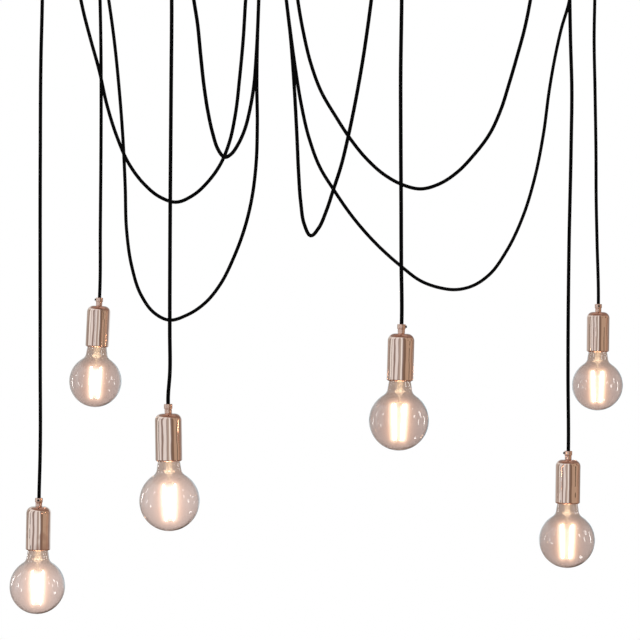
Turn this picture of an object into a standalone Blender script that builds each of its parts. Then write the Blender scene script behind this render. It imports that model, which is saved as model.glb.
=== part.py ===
"""A spider pendant light: six copper lampholders with globe bulbs on swagged black cords.

Metres, +Z up. The origin is the middle of the ceiling rose's ceiling face, X runs to the right
and Y away from the viewer. Lamps are numbered from the left of the room view: 1 to 3 hang on
the left of the rose and 4 to 6 on the right.
"""
import math

import bmesh
import bpy
from mathutils import Matrix, Vector
from mathutils.geometry import interpolate_bezier

# Driving sizes
GLOBE_DIAMETER = 0.095
CORD_DIAMETER = 0.0062
CUP_DIAMETER = 0.0425
CUP_HEIGHT = 0.0752
ROSE_DIAMETER = 0.120
ROSE_HEIGHT = 0.028

# Clearances
GAP = 0.0003
CORD_CLEARANCE = 0.0005
THREAD_CLEARANCE = 0.0004
OVERRUN = 0.002
WELD_DISTANCE = 0.00001

# Where each lamp hangs from the rose, lamps 1 to 6
REACHES = (0.3937, 0.3840, 0.3270, 0.3473, 0.5123, 0.6833)
BEARINGS = (178.0, 146.3, 242.5, 307.9, 358.0, 28.0)
DROPS = (0.9833, 0.6353, 0.8083, 0.6827, 0.9000, 0.6461)

# How each cord crosses its hook, and how each lamp leans and turns on its cord
HEADINGS = (177.8, 100.4, 242.8, 308.8, 357.8, 26.4)
LEANS = (-0.0069, 0.0016, -0.0032, 0.0008, -0.0020, 0.0052)
TILTS = (1.1, 2.8, -0.8, 1.6, 0.9, 0.7)
GRIP_TURNS = (-90.0, 180.0, 90.0, 0.0, 180.0, -90.0)

# Ceiling rose
ROSE_WALL = 0.0012
ROSE_EDGE = 0.0035
OUTLET_CIRCLE_DIAMETER = 0.070
OUTLET_BEARINGS = (180.0, 120.0, 240.0, 300.0, 0.0, 60.0)
OUTLET_DIAMETER = 0.0135
OUTLET_LENGTH = 0.012
CORD_TAIL = 0.006

# Ceiling bracket, its stud and the domed nut under the cover
BRACKET_END = 0.012
BRACKET_WIDTH = 0.016
BRACKET_THICKNESS = 0.002
SLOT_SPACING = 0.076
SLOT_WIDTH = 0.0052
SLOT_LENGTH = 0.012
STUD_DIAMETER = 0.0078
NUT_DIAMETER = 0.018
NUT_HEIGHT = 0.011
NUT_RIM = 0.004
NUT_CROWN_DIAMETER = 0.007
NUT_SPARE = 0.0015

# Ceiling screws
SCREW_HEAD_DIAMETER = 0.0085
SCREW_HEAD_HEIGHT = 0.0025
SCREW_CROWN_DIAMETER = 0.005
SCREW_SHANK_DIAMETER = 0.0044
SCREW_LENGTH = 0.035
SCREW_POINT = 0.006

# Terminal block
BLOCK_LENGTH = 0.020
BLOCK_WIDTH = 0.012
BLOCK_HEIGHT = 0.011
BLOCK_SCREW_GAP = 0.006
TERMINAL_BORE_DIAMETER = 0.0034
TERMINAL_PITCH = 0.006
TERMINAL_COUNT = 3

# Ceiling hooks
HOOK_WIRE_DIAMETER = 0.004
HOOK_LOOP_RADIUS = 0.012
HOOK_DROP = 0.028
HOOK_FLANGE_DIAMETER = 0.016
HOOK_FLANGE_THICKNESS = 0.002
HOOK_THREAD_DIAMETER = 0.0036
HOOK_THREAD_LENGTH = 0.030
HOOK_POINT = 0.005
HOOK_POINT_DIAMETER = 0.0008
HOOK_MOUTH_START = 118.0
HOOK_MOUTH_END = 392.0
HOOK_LOOP_STEPS = 7

# The arch of each cord over its hook
ARCH_RADIUS = 0.025
ARCH_HEIGHT = 0.026
ARCH_SHARES = (
    (-1.0, 1.0), (-0.87, 0.5), (-0.5, 0.13), (0.0, 0.0), (0.5, 0.13), (0.87, 0.5), (1.0, 1.0),
)

# Each swag's route as (distance from the outlet towards the hook, height), chosen by hand
SWAG_ROUTES = (
    (
        (0.000, -0.065), (0.001, -0.095), (0.004, -0.140), (0.008, -0.190), (0.012, -0.255),
        (0.018, -0.320), (0.026, -0.388), (0.036, -0.434), (0.051, -0.471), (0.073, -0.502),
        (0.100, -0.526), (0.128, -0.537), (0.156, -0.528), (0.183, -0.506), (0.210, -0.470),
        (0.230, -0.425), (0.248, -0.368), (0.261, -0.310), (0.276, -0.256), (0.289, -0.206),
        (0.299, -0.155), (0.306, -0.105),
    ),
    (
        (0.000, -0.065), (0.001, -0.110), (0.004, -0.180), (0.007, -0.260), (0.008, -0.330),
        (0.007, -0.400), (0.010, -0.475), (0.017, -0.525), (0.030, -0.575), (0.053, -0.631),
        (0.079, -0.677), (0.107, -0.708), (0.145, -0.731), (0.183, -0.740), (0.212, -0.727),
        (0.238, -0.696), (0.258, -0.642), (0.268, -0.580), (0.271, -0.500), (0.276, -0.410),
        (0.284, -0.320), (0.294, -0.235), (0.305, -0.165), (0.315, -0.110),
    ),
    (
        (0.000, -0.065), (0.001, -0.110), (0.003, -0.170), (0.007, -0.235), (0.013, -0.292),
        (0.021, -0.342), (0.034, -0.382), (0.053, -0.420), (0.075, -0.446), (0.100, -0.465),
        (0.122, -0.471), (0.142, -0.460), (0.160, -0.434), (0.174, -0.403), (0.187, -0.362),
        (0.198, -0.312), (0.208, -0.262), (0.221, -0.220), (0.231, -0.165), (0.238, -0.108),
    ),
    (
        (0.000, -0.065), (0.002, -0.100), (0.008, -0.150), (0.018, -0.205), (0.028, -0.260),
        (0.035, -0.315), (0.041, -0.375), (0.046, -0.435), (0.050, -0.490), (0.056, -0.542),
        (0.066, -0.580), (0.083, -0.599), (0.103, -0.588), (0.124, -0.560), (0.143, -0.525),
        (0.163, -0.487), (0.180, -0.444), (0.194, -0.403), (0.208, -0.357), (0.220, -0.313),
        (0.231, -0.266), (0.241, -0.218), (0.250, -0.165), (0.258, -0.110),
    ),
    (
        (0.000, -0.065), (0.002, -0.100), (0.007, -0.150), (0.013, -0.198), (0.022, -0.248),
        (0.034, -0.298), (0.052, -0.347), (0.077, -0.390), (0.101, -0.427), (0.130, -0.463),
        (0.160, -0.490), (0.190, -0.507), (0.223, -0.515), (0.256, -0.506), (0.285, -0.487),
        (0.314, -0.457), (0.341, -0.421), (0.360, -0.380), (0.374, -0.336), (0.388, -0.288),
        (0.401, -0.240), (0.411, -0.190), (0.418, -0.145), (0.424, -0.100),
    ),
    (
        (0.000, -0.065), (0.002, -0.110), (0.009, -0.175), (0.018, -0.240), (0.028, -0.305),
        (0.038, -0.360), (0.054, -0.422), (0.075, -0.472), (0.103, -0.512), (0.138, -0.556),
        (0.185, -0.603), (0.236, -0.643), (0.278, -0.670), (0.318, -0.682), (0.348, -0.685),
        (0.385, -0.678), (0.421, -0.657), (0.458, -0.613), (0.495, -0.545), (0.518, -0.480),
        (0.538, -0.395), (0.551, -0.312), (0.563, -0.253), (0.578, -0.195), (0.594, -0.148),
        (0.602, -0.104),
    ),
)

# Each drop's route as shares of (the drop, the bow), chosen by hand
DROP_BOW = 0.005
DROP_SHARES = (
    ((0.06, -0.08), (0.13, -0.26), (0.23, -0.72), (0.40, -0.94), (0.75, -0.98), (0.93, -1.02)),
    ((0.07, 0.24), (0.15, 0.54), (0.30, 0.86), (0.45, 0.92), (0.60, 0.84), (0.80, 0.62)),
    ((0.08, 0.24), (0.21, 0.46), (0.40, 0.26), (0.64, -0.02), (0.86, -0.14), (0.94, -0.12)),
    ((0.10, 0.16), (0.24, 0.20), (0.42, -0.12), (0.58, -0.08), (0.72, 0.02), (0.86, 0.08)),
    ((0.14, 0.10), (0.22, 0.36), (0.31, 0.80), (0.42, 0.56), (0.62, -0.18), (0.86, -0.50)),
    ((0.11, -0.28), (0.22, -0.54), (0.38, -0.20), (0.55, 0.14), (0.70, 0.24), (0.82, 0.56)),
)

# How finely a cord's tube follows its route
ROUTE_STEPS = 12
LEAST_SPACING = 0.011
MOST_SPACING = 0.034
MOST_DROP_SPACING = 0.045
MOST_TURN = 12.0
CORD_BEVEL_STEPS = 2
DOME_ANGLES = (66.0, 33.0)

# Cord grip on each lamp
GRIP_COLLAR_DIAMETER = 0.0135
GRIP_COLLAR_HEIGHT = 0.0075
GRIP_NECK_DIAMETER = 0.0115
GRIP_NECK_HEIGHT = 0.0070
GRIP_CHAMFER = 0.0008
NIPPLE_DIAMETER = 0.0098
NIPPLE_LENGTH = 0.0105
CORD_STRAIGHT = 0.010
CORD_ENTRY = 0.016
LOCK_SCREW_DIAMETER = 0.0038
LOCK_SCREW_HEIGHT = 0.0022
LOCK_SCREW_ROOT = 0.001

# Holder cup
CUP_WALL = 0.0009
CUP_SHOULDER = 0.0115
CUP_LIP = 0.003

# Socket
SOCKET_DIAMETER = 0.036
SOCKET_SKIRT_HEIGHT = 0.0345
SOCKET_WAIST_DIAMETER = 0.028
SOCKET_WAIST_HEIGHT = 0.017
SOCKET_BOSS_DIAMETER = 0.018
SOCKET_BOSS_HEIGHT = 0.0125
SOCKET_RECESS = 0.0035
SOCKET_WELL_DEPTH = 0.029
CONTACT_DIAMETER = 0.006
CONTACT_HEIGHT = 0.0022

# Bulb globe and neck
GLOBE_CENTRE_BELOW_RIM = 0.0626
GLASS_THICKNESS = 0.001
NECK_DIAMETER = 0.0345
NECK_FOOT_DIAMETER = 0.0384
NECK_LENGTH = 0.011
NECK_SEAT = 0.0055
TENON_DIAMETER = 0.0232
TENON_LENGTH = 0.004

# Bulb cap
CAP_HEIGHT = 0.0265
CAP_SKIRT_DIAMETER = 0.0262
CAP_SKIRT_HEIGHT = 0.0048
CAP_CREST_DIAMETER = 0.0264
CAP_ROOT_DIAMETER = 0.0246
CAP_PITCH = 0.0036
CAP_TURNS = 2
CAP_WALL = 0.0008
CAP_SHOULDER_DIAMETER = 0.021
CAP_INSULATOR_DIAMETER = 0.012
CAP_INSULATOR_HEIGHT = 0.003
CAP_TIP_DIAMETER = 0.009

# Stem, wires and filaments
STEM_CLEARANCE = 0.0003
STEM_FLARE_HEIGHT = 0.002
STEM_THROAT_DIAMETER = 0.008
STEM_THROAT_BELOW_RIM = 0.002
STEM_ROD_DIAMETER = 0.005
STEM_ROD_TOP_BELOW_RIM = 0.011
STEM_END_BELOW_RIM = 0.034
WIRE_DIAMETER = 0.0012
FILAMENT_DIAMETER = 0.0018
FILAMENT_COUNT = 4
FILAMENT_TURN = 20.0
FILAMENT_TOP_BELOW_RIM = 0.036
FILAMENT_LENGTH = 0.058
FILAMENT_TOP_RADIUS = 0.0125
FILAMENT_FOOT_RADIUS = 0.0085
FOOT_BEAD_DIAMETER = 0.003

# Sides of the round pieces
ROSE_SIDES = 20
OUTLET_SIDES = 10
NUT_SIDES = 12
SCREW_SIDES = 8
BORE_SIDES = 8
HOOK_SIDES = 6
GRIP_SIDES = 10
CUP_SIDES = 12
SOCKET_SIDES = 10
GLASS_SIDES = 12
CAP_SIDES = 10
STEM_SIDES = 6
FILAMENT_SIDES = 4

# Segments of the turned arcs
SHOULDER_STEPS = 3
INNER_SHOULDER_STEPS = 2
LIP_STEPS = 2
ROSE_EDGE_STEPS = 1
FILLET_STEPS = 2
GLOBE_STEPS = 6

# The largest angle between faces that still shade as one surface
SMOOTH_ANGLE = 40.0

LAMP_NUMBERS = range(1, len(REACHES) + 1)
CORD_RADIUS = CORD_DIAMETER / 2
GRIP_HEIGHT = GRIP_COLLAR_HEIGHT + GRIP_NECK_HEIGHT
CUP_TOP = -GRIP_HEIGHT - GAP
RIM = CUP_TOP - CUP_HEIGHT
GLOBE_CENTRE = RIM - GLOBE_CENTRE_BELOW_RIM
CAP_BASE = RIM + NECK_SEAT
CAP_TOP = CAP_BASE + CAP_HEIGHT
ARCH_TOP = -HOOK_DROP - HOOK_LOOP_RADIUS + HOOK_WIRE_DIAMETER / 2 + GAP + CORD_RADIUS
ARCH_END = ARCH_TOP - ARCH_HEIGHT
PIVOT_HEIGHT = ARCH_END - GAP - CORD_RADIUS


def clear_scene():
    for obj in list(bpy.data.objects):
        bpy.data.objects.remove(obj, do_unlink=True)


def finish(name, colour, metallic, roughness):
    """A plain material of this colour."""
    material = bpy.data.materials.new(name)
    material.use_nodes = True
    shader = material.node_tree.nodes["Principled BSDF"]
    shader.inputs["Base Color"].default_value = (*colour, 1.0)
    shader.inputs["Metallic"].default_value = metallic
    shader.inputs["Roughness"].default_value = roughness
    return material


def on_circle(radius, bearing):
    """The place on the ceiling at this radius and bearing."""
    angle = math.radians(bearing)
    return Vector((radius * math.cos(angle), radius * math.sin(angle), 0.0))


def arc(centre_radius, centre_height, radius, start, end, steps):
    """Profile points along an arc, from one angle to another in degrees."""
    points = []
    for step in range(steps + 1):
        angle = math.radians(start + (end - start) * step / steps)
        points.append((
            centre_radius + radius * math.cos(angle),
            centre_height + radius * math.sin(angle),
        ))
    return points


def bore_radius(shaft_radius, clearance, sides):
    """The corner radius of a many-sided bore whose flats clear a round shaft."""
    return (shaft_radius + clearance) / math.cos(math.pi / sides)


def mesh_from(bm, name):
    bmesh.ops.remove_doubles(bm, verts=bm.verts, dist=WELD_DISTANCE)
    bmesh.ops.recalc_face_normals(bm, faces=bm.faces)
    mesh = bpy.data.meshes.new(name)
    bm.to_mesh(mesh)
    bm.free()
    mesh.shade_smooth()
    mesh.set_sharp_from_angle(angle=math.radians(SMOOTH_ANGLE))
    return mesh


def turned(name, profile, sides):
    """A mesh turned about Z from a profile of (radius, height) points.

    A profile that starts and ends on the axis stays open there, any other one is a closed ring.
    """
    bm = bmesh.new()
    verts = [bm.verts.new((radius, 0.0, height)) for radius, height in profile]
    ends = list(zip(verts, verts[1:]))
    if profile[0][0] or profile[-1][0]:
        ends.append((verts[-1], verts[0]))
    edges = [bm.edges.new(pair) for pair in ends]
    bmesh.ops.spin(
        bm, geom=verts + edges, cent=Vector(), axis=Vector((0.0, 0.0, 1.0)), dvec=Vector(),
        angle=math.tau, steps=sides, use_merge=True,
    )
    return mesh_from(bm, name)


def swept(name, path, side, sides):
    """A mesh of rings along a flat path of (point, radius), with side square to its plane."""
    bm = bmesh.new()
    rings = []
    for index, (point, radius) in enumerate(path):
        before = [p for p, _ in path[:index] if (p - point).length > WELD_DISTANCE]
        after = [p for p, _ in path[index + 1:] if (p - point).length > WELD_DISTANCE]
        forward = Vector()
        if before:
            forward += (point - before[-1]).normalized()
        if after:
            forward += (after[0] - point).normalized()
        across = side.cross(forward.normalized())
        ring = []
        for corner in range(sides):
            angle = math.tau * (corner + 0.5) / sides
            offset = side * math.cos(angle) + across * math.sin(angle)
            ring.append(bm.verts.new(point + offset * radius))
        rings.append(ring)
    for ring, following in zip(rings, rings[1:]):
        for corner in range(sides):
            beside = (corner + 1) % sides
            bm.faces.new((ring[corner], ring[beside], following[beside], following[corner]))
    bm.faces.new(rings[0])
    bm.faces.new(rings[-1])
    return mesh_from(bm, name)


def block(name, low, high):
    """A mesh of a box between two corners."""
    bm = bmesh.new()
    low, high = Vector(low), Vector(high)
    size = high - low
    matrix = Matrix.Translation((low + high) / 2) @ Matrix.Diagonal((*size, 1.0))
    bmesh.ops.create_cube(bm, size=1.0, matrix=matrix)
    return mesh_from(bm, name)


def rod(name, diameter, start, end, sides):
    """A mesh of a straight round bar between two points."""
    bm = bmesh.new()
    start, end = Vector(start), Vector(end)
    turn = (end - start).to_track_quat("Z", "Y").to_matrix().to_4x4()
    matrix = Matrix.Translation((start + end) / 2) @ turn
    bmesh.ops.create_cone(
        bm, cap_ends=True, segments=sides, radius1=diameter / 2, radius2=diameter / 2,
        depth=(end - start).length, matrix=matrix,
    )
    return mesh_from(bm, name)


def combined(name, mesh, others):
    """The mesh after Boolean steps with the other meshes, each (mesh, operation)."""
    body = bpy.data.objects.new(name, mesh)
    bpy.context.scene.collection.objects.link(body)
    tools = []
    for other, operation in others:
        tool = bpy.data.objects.new(other.name, other)
        bpy.context.scene.collection.objects.link(tool)
        tools.append(tool)
        modifier = body.modifiers.new(other.name, "BOOLEAN")
        modifier.operation = operation
        modifier.solver = "EXACT"
        modifier.object = tool
    graph = bpy.context.evaluated_depsgraph_get()
    result = bpy.data.meshes.new_from_object(body.evaluated_get(graph))
    result.name = name
    for obj in (body, *tools):
        bpy.data.objects.remove(obj, do_unlink=True)
    result.shade_smooth()
    result.set_sharp_from_angle(angle=math.radians(SMOOTH_ANGLE))
    return result


def empty(name, parent, location, tilt):
    """A helper that carries pieces, tilted about Y by so many degrees."""
    helper = bpy.data.objects.new(name, None)
    bpy.context.scene.collection.objects.link(helper)
    helper.empty_display_size = CORD_DIAMETER
    helper.parent = parent
    helper.location = location
    helper.rotation_euler = (0.0, math.radians(tilt), 0.0)
    return helper


def place(name, mesh, material, parent=None, location=(0.0, 0.0, 0.0), turn=0.0):
    """An object of this mesh, turned about Z by so many degrees."""
    obj = bpy.data.objects.new(name, mesh)
    bpy.context.scene.collection.objects.link(obj)
    if not mesh.materials:
        mesh.materials.append(material)
    obj.parent = parent
    obj.location = location
    obj.rotation_euler = (0.0, 0.0, math.radians(turn))
    return obj


# The paths of the cords

def smooth_line(points):
    """Many points along one smooth curve through the given ones."""
    slopes = []
    for index, point in enumerate(points):
        to_here = point - points[max(index - 1, 0)]
        onward = points[min(index + 1, len(points) - 1)] - point
        slope = to_here.normalized() * onward.length + onward.normalized() * to_here.length
        slopes.append((slope if slope.length else to_here + onward).normalized())
    line = []
    for index in range(len(points) - 1):
        start, end = points[index], points[index + 1]
        handle = (end - start).length / 3
        span = interpolate_bezier(
            start, start + slopes[index] * handle, end - slopes[index + 1] * handle, end,
            ROUTE_STEPS + 1,
        )
        line += span[:-1]
    return line + [points[-1]]


def thinned(line, most_spacing):
    """Fewer points of the line, closer together where it bends."""
    kept = [line[0]]
    heading = line[1] - line[0]
    for point, following in zip(line[1:-1], line[2:]):
        spacing = (point - kept[-1]).length
        turn = math.degrees(heading.angle(following - point))
        if spacing >= most_spacing or (spacing >= LEAST_SPACING and turn >= MOST_TURN):
            kept.append(point)
            heading = following - point
    if (line[-1] - kept[-1]).length < LEAST_SPACING / 2 and len(kept) > 1:
        kept.pop()
    return kept + [line[-1]]


def pivot(lamp):
    """Where the drop leaves the arch over its hook, which the lamp swings about."""
    place_above = on_circle(REACHES[lamp - 1], BEARINGS[lamp - 1])
    return place_above + Vector((0.0, 0.0, PIVOT_HEIGHT))


def hook_place(lamp):
    """The middle of the lamp's hook on the ceiling."""
    above = on_circle(REACHES[lamp - 1], BEARINGS[lamp - 1])
    return above - on_circle(ARCH_RADIUS, HEADINGS[lamp - 1])


def swag_line(lamp):
    outlet = on_circle(OUTLET_CIRCLE_DIAMETER / 2, OUTLET_BEARINGS[lamp - 1])
    hook = hook_place(lamp)
    over_hook = on_circle(1.0, HEADINGS[lamp - 1])
    inner_leg = hook - over_hook * ARCH_RADIUS
    along = (inner_leg - outlet).normalized()
    up = Vector((0.0, 0.0, 1.0))
    points = [outlet + up * (CORD_TAIL - ROSE_HEIGHT), outlet - up * (ROSE_HEIGHT + OUTLET_LENGTH)]
    for reach, height in SWAG_ROUTES[lamp - 1]:
        points.append(outlet + along * reach + up * height)
    for out_share, down_share in ARCH_SHARES:
        height = ARCH_TOP - down_share * ARCH_HEIGHT
        points.append(hook + over_hook * (out_share * ARCH_RADIUS) + up * height)
    line = smooth_line(points)
    apex = (len(points) - 1 - len(ARCH_SHARES) // 2) * ROUTE_STEPS
    return thinned(line[:apex + 1], MOST_SPACING) + thinned(line[apex:], MOST_SPACING)[1:]


def drop_line(lamp):
    """The cord from the pivot into its grip, measured from the pivot."""
    drop = DROPS[lamp - 1]
    points = [Vector()]
    for down_share, bow_share in DROP_SHARES[lamp - 1]:
        points.append(Vector((bow_share * DROP_BOW, 0.0, -down_share * drop)))
    grip_top = Vector((LEANS[lamp - 1], 0.0, -drop))
    tilt = math.radians(TILTS[lamp - 1])
    up_the_lamp = Vector((math.sin(tilt), 0.0, math.cos(tilt)))
    points.append(grip_top + up_the_lamp * CORD_STRAIGHT)
    points.append(grip_top - up_the_lamp * CORD_ENTRY)
    return thinned(smooth_line(points), MOST_DROP_SPACING)


def cord(name, points, radii, material, parent, location):
    """A round cord along the points, with a share of its radius at each."""
    curve = bpy.data.curves.new(name, "CURVE")
    curve.dimensions = "3D"
    curve.bevel_depth = CORD_RADIUS
    curve.bevel_resolution = CORD_BEVEL_STEPS
    curve.use_fill_caps = True
    spline = curve.splines.new("POLY")
    spline.points.add(len(points) - 1)
    for spot, point, radius in zip(spline.points, points, radii):
        spot.co = (*point, 1.0)
        spot.radius = radius
    curve.materials.append(material)
    obj = bpy.data.objects.new(name, curve)
    bpy.context.scene.collection.objects.link(obj)
    obj.parent = parent
    obj.location = location
    return obj


def swag_cord(lamp, material):
    points = swag_line(lamp)
    cord(f"swag_cord_{lamp}", points, [1.0] * len(points), material, None, Vector())


def drop_cord(lamp, material, swing):
    """The hanging stretch, with a domed top that turns under the swag's end."""
    points = drop_line(lamp)
    radii = [1.0] * len(points)
    for angle in reversed(DOME_ANGLES):
        angle = math.radians(angle)
        points.insert(0, Vector((0.0, 0.0, CORD_RADIUS * math.sin(angle))))
        radii.insert(0, math.cos(angle))
    cord(f"drop_cord_{lamp}", points, radii, material, swing, Vector())


# The ceiling rose

def rose_cover(material):
    radius = ROSE_DIAMETER / 2
    edge = radius - ROSE_EDGE
    inner_edge = ROSE_EDGE - ROSE_WALL
    hole = bore_radius(STUD_DIAMETER / 2, GAP, ROSE_SIDES)
    face = -ROSE_HEIGHT
    profile = [(hole, face + ROSE_WALL), (hole, face)]
    profile += arc(edge, face + ROSE_EDGE, ROSE_EDGE, -90.0, 0.0, ROSE_EDGE_STEPS)
    profile += [(radius, 0.0), (radius - ROSE_WALL, 0.0)]
    profile += arc(edge, face + ROSE_EDGE, inner_edge, 0.0, -90.0, ROSE_EDGE_STEPS)
    steps = []
    bore = 2 * bore_radius(CORD_RADIUS, CORD_CLEARANCE, BORE_SIDES)
    for bearing in OUTLET_BEARINGS:
        middle = on_circle(OUTLET_CIRCLE_DIAMETER / 2, bearing)
        top = middle + Vector((0.0, 0.0, face + ROSE_WALL / 2))
        bottom = middle + Vector((0.0, 0.0, face - OUTLET_LENGTH))
        beyond = Vector((0.0, 0.0, OVERRUN))
        collar = rod("outlet", OUTLET_DIAMETER, top, bottom, OUTLET_SIDES)
        cutter = rod("outlet_bore", bore, top + beyond, bottom - beyond, BORE_SIDES)
        steps += [(collar, "UNION"), (cutter, "DIFFERENCE")]
    place("rose_cover", combined("rose_cover", turned("cover", profile, ROSE_SIDES), steps), material)


def rose_bracket(material):
    """A flat bar against the ceiling with two slots and a stud under its middle."""
    half_width = BRACKET_WIDTH / 2
    half_length = SLOT_SPACING / 2 + BRACKET_END
    bar = block(
        "bar", (-half_width, -half_length, -BRACKET_THICKNESS), (half_width, half_length, 0.0),
    )
    stud_top = (0.0, 0.0, -BRACKET_THICKNESS / 2)
    stud_end = (0.0, 0.0, -ROSE_HEIGHT - NUT_HEIGHT + NUT_RIM)
    steps = [(rod("stud", STUD_DIAMETER, stud_top, stud_end, NUT_SIDES), "UNION")]
    straight = (SLOT_LENGTH - SLOT_WIDTH) / 2
    low, high = -BRACKET_THICKNESS - OVERRUN, OVERRUN
    for side in (-1.0, 1.0):
        middle = side * SLOT_SPACING / 2
        for end in (middle - straight, middle + straight):
            steps.append((
                rod("slot_end", SLOT_WIDTH, (0.0, end, low), (0.0, end, high), BORE_SIDES),
                "DIFFERENCE",
            ))
        steps.append((
            block(
                "slot", (-SLOT_WIDTH / 2, middle - straight, low),
                (SLOT_WIDTH / 2, middle + straight, high),
            ),
            "DIFFERENCE",
        ))
    place("rose_bracket", combined("rose_bracket", bar, steps), material)


def rose_nut(material):
    """The domed nut that holds the cover up on the stud."""
    seat = -ROSE_HEIGHT - GAP
    bore = bore_radius(STUD_DIAMETER / 2, GAP, NUT_SIDES)
    radius = NUT_DIAMETER / 2
    end = seat - NUT_HEIGHT
    blind = -ROSE_HEIGHT - NUT_HEIGHT + NUT_RIM - NUT_SPARE
    profile = [
        (0.0, blind), (bore, blind), (bore, seat), (radius, seat), (radius, seat - NUT_RIM),
        (NUT_CROWN_DIAMETER / 2, end), (0.0, end),
    ]
    place("rose_nut", turned("rose_nut", profile, NUT_SIDES), material)


def ceiling_screws(material):
    """The two screws through the bracket's slots."""
    head_top = -BRACKET_THICKNESS - GAP
    head_end = head_top - SCREW_HEAD_HEIGHT
    shank = SCREW_SHANK_DIAMETER / 2
    tip = head_end + SCREW_LENGTH
    profile = [
        (0.0, tip), (shank, tip - SCREW_POINT), (shank, head_top),
        (SCREW_HEAD_DIAMETER / 2, head_top), (SCREW_CROWN_DIAMETER / 2, head_end), (0.0, head_end),
    ]
    mesh = turned("ceiling_screw", profile, SCREW_SIDES)
    for number, side in enumerate((-1.0, 1.0), start=1):
        location = (0.0, side * SLOT_SPACING / 2, 0.0)
        place(f"ceiling_screw_{number}", mesh, material, location=location)


def terminal_block(material):
    """A block under the bracket with a row of cross bores for the wires."""
    top = -BRACKET_THICKNESS - GAP
    middle = SLOT_SPACING / 2 - BLOCK_SCREW_GAP - BLOCK_LENGTH / 2
    low = (-BLOCK_WIDTH / 2, middle - BLOCK_LENGTH / 2, top - BLOCK_HEIGHT)
    high = (BLOCK_WIDTH / 2, middle + BLOCK_LENGTH / 2, top)
    steps = []
    for number in range(TERMINAL_COUNT):
        along = middle + (number - (TERMINAL_COUNT - 1) / 2) * TERMINAL_PITCH
        height = top - BLOCK_HEIGHT / 2
        start = (-BLOCK_WIDTH / 2 - OVERRUN, along, height)
        end = (BLOCK_WIDTH / 2 + OVERRUN, along, height)
        steps.append((rod("bore", TERMINAL_BORE_DIAMETER, start, end, BORE_SIDES), "DIFFERENCE"))
    mesh = combined("rose_terminal_block", block("block", low, high), steps)
    place("rose_terminal_block", mesh, material)


# The ceiling hooks

def ceiling_hooks(material):
    """Screw hooks whose wire loop is square to the cord that crosses it."""
    wire = HOOK_WIRE_DIAMETER / 2
    thread = HOOK_THREAD_DIAMETER / 2
    flange = HOOK_FLANGE_DIAMETER / 2
    flange_bottom = -HOOK_FLANGE_THICKNESS
    shank_end = (flange_bottom - HOOK_DROP + HOOK_LOOP_RADIUS) / 2
    stem = (
        (HOOK_THREAD_LENGTH, HOOK_POINT_DIAMETER / 2), (HOOK_THREAD_LENGTH - HOOK_POINT, thread),
        (0.0, thread), (0.0, flange), (flange_bottom, flange), (flange_bottom, wire),
        (shank_end, wire),
    )
    path = [(Vector((0.0, 0.0, height)), radius) for height, radius in stem]
    loop = arc(
        0.0, -HOOK_DROP, HOOK_LOOP_RADIUS, HOOK_MOUTH_START, HOOK_MOUTH_END, HOOK_LOOP_STEPS,
    )
    path += [(Vector((0.0, across, height)), wire) for across, height in loop]
    mesh = swept("ceiling_hook", path, Vector((1.0, 0.0, 0.0)), HOOK_SIDES)
    for lamp in LAMP_NUMBERS:
        heading = HEADINGS[lamp - 1]
        place(f"ceiling_hook_{lamp}", mesh, material, None, hook_place(lamp), heading)


# The lamps, each built from the top of its cord grip down

def grip_mesh():
    """The cord grip, its nipple and its cross screw."""
    bore = bore_radius(CORD_RADIUS, CORD_CLEARANCE, GRIP_SIDES)
    collar = GRIP_COLLAR_DIAMETER / 2
    neck = GRIP_NECK_DIAMETER / 2
    nipple = NIPPLE_DIAMETER / 2
    tip = -GRIP_HEIGHT - NIPPLE_LENGTH
    profile = [
        (bore, 0.0), (collar - GRIP_CHAMFER, 0.0), (collar, -GRIP_CHAMFER),
        (collar, -GRIP_COLLAR_HEIGHT), (neck, -GRIP_COLLAR_HEIGHT), (neck, -GRIP_HEIGHT),
        (nipple, -GRIP_HEIGHT), (nipple, tip), (bore, tip),
    ]
    height = -GRIP_COLLAR_HEIGHT / 2
    start = (collar - LOCK_SCREW_ROOT, 0.0, height)
    end = (collar + LOCK_SCREW_HEIGHT, 0.0, height)
    screw = rod("lock_screw", LOCK_SCREW_DIAMETER, start, end, SCREW_SIDES)
    return combined("cord_grip", turned("grip", profile, GRIP_SIDES), [(screw, "UNION")])


def cup_mesh():
    """The thin cup with a round shoulder and a rim that turns in."""
    radius = CUP_DIAMETER / 2
    hole = bore_radius(NIPPLE_DIAMETER / 2, GAP, CUP_SIDES)
    shoulder = radius - CUP_SHOULDER, CUP_TOP - CUP_SHOULDER
    lip = radius - CUP_LIP, RIM + CUP_LIP
    profile = [(hole, CUP_TOP - CUP_WALL), (hole, CUP_TOP)]
    profile += arc(*shoulder, CUP_SHOULDER, 90.0, 0.0, SHOULDER_STEPS)
    profile += arc(*lip, CUP_LIP, 0.0, -90.0, LIP_STEPS)
    profile += arc(*lip, CUP_LIP - CUP_WALL, -90.0, 0.0, 1)
    profile += arc(*shoulder, CUP_SHOULDER - CUP_WALL, 0.0, 90.0, INNER_SHOULDER_STEPS)
    return turned("holder_cup", profile, CUP_SIDES)


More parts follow.
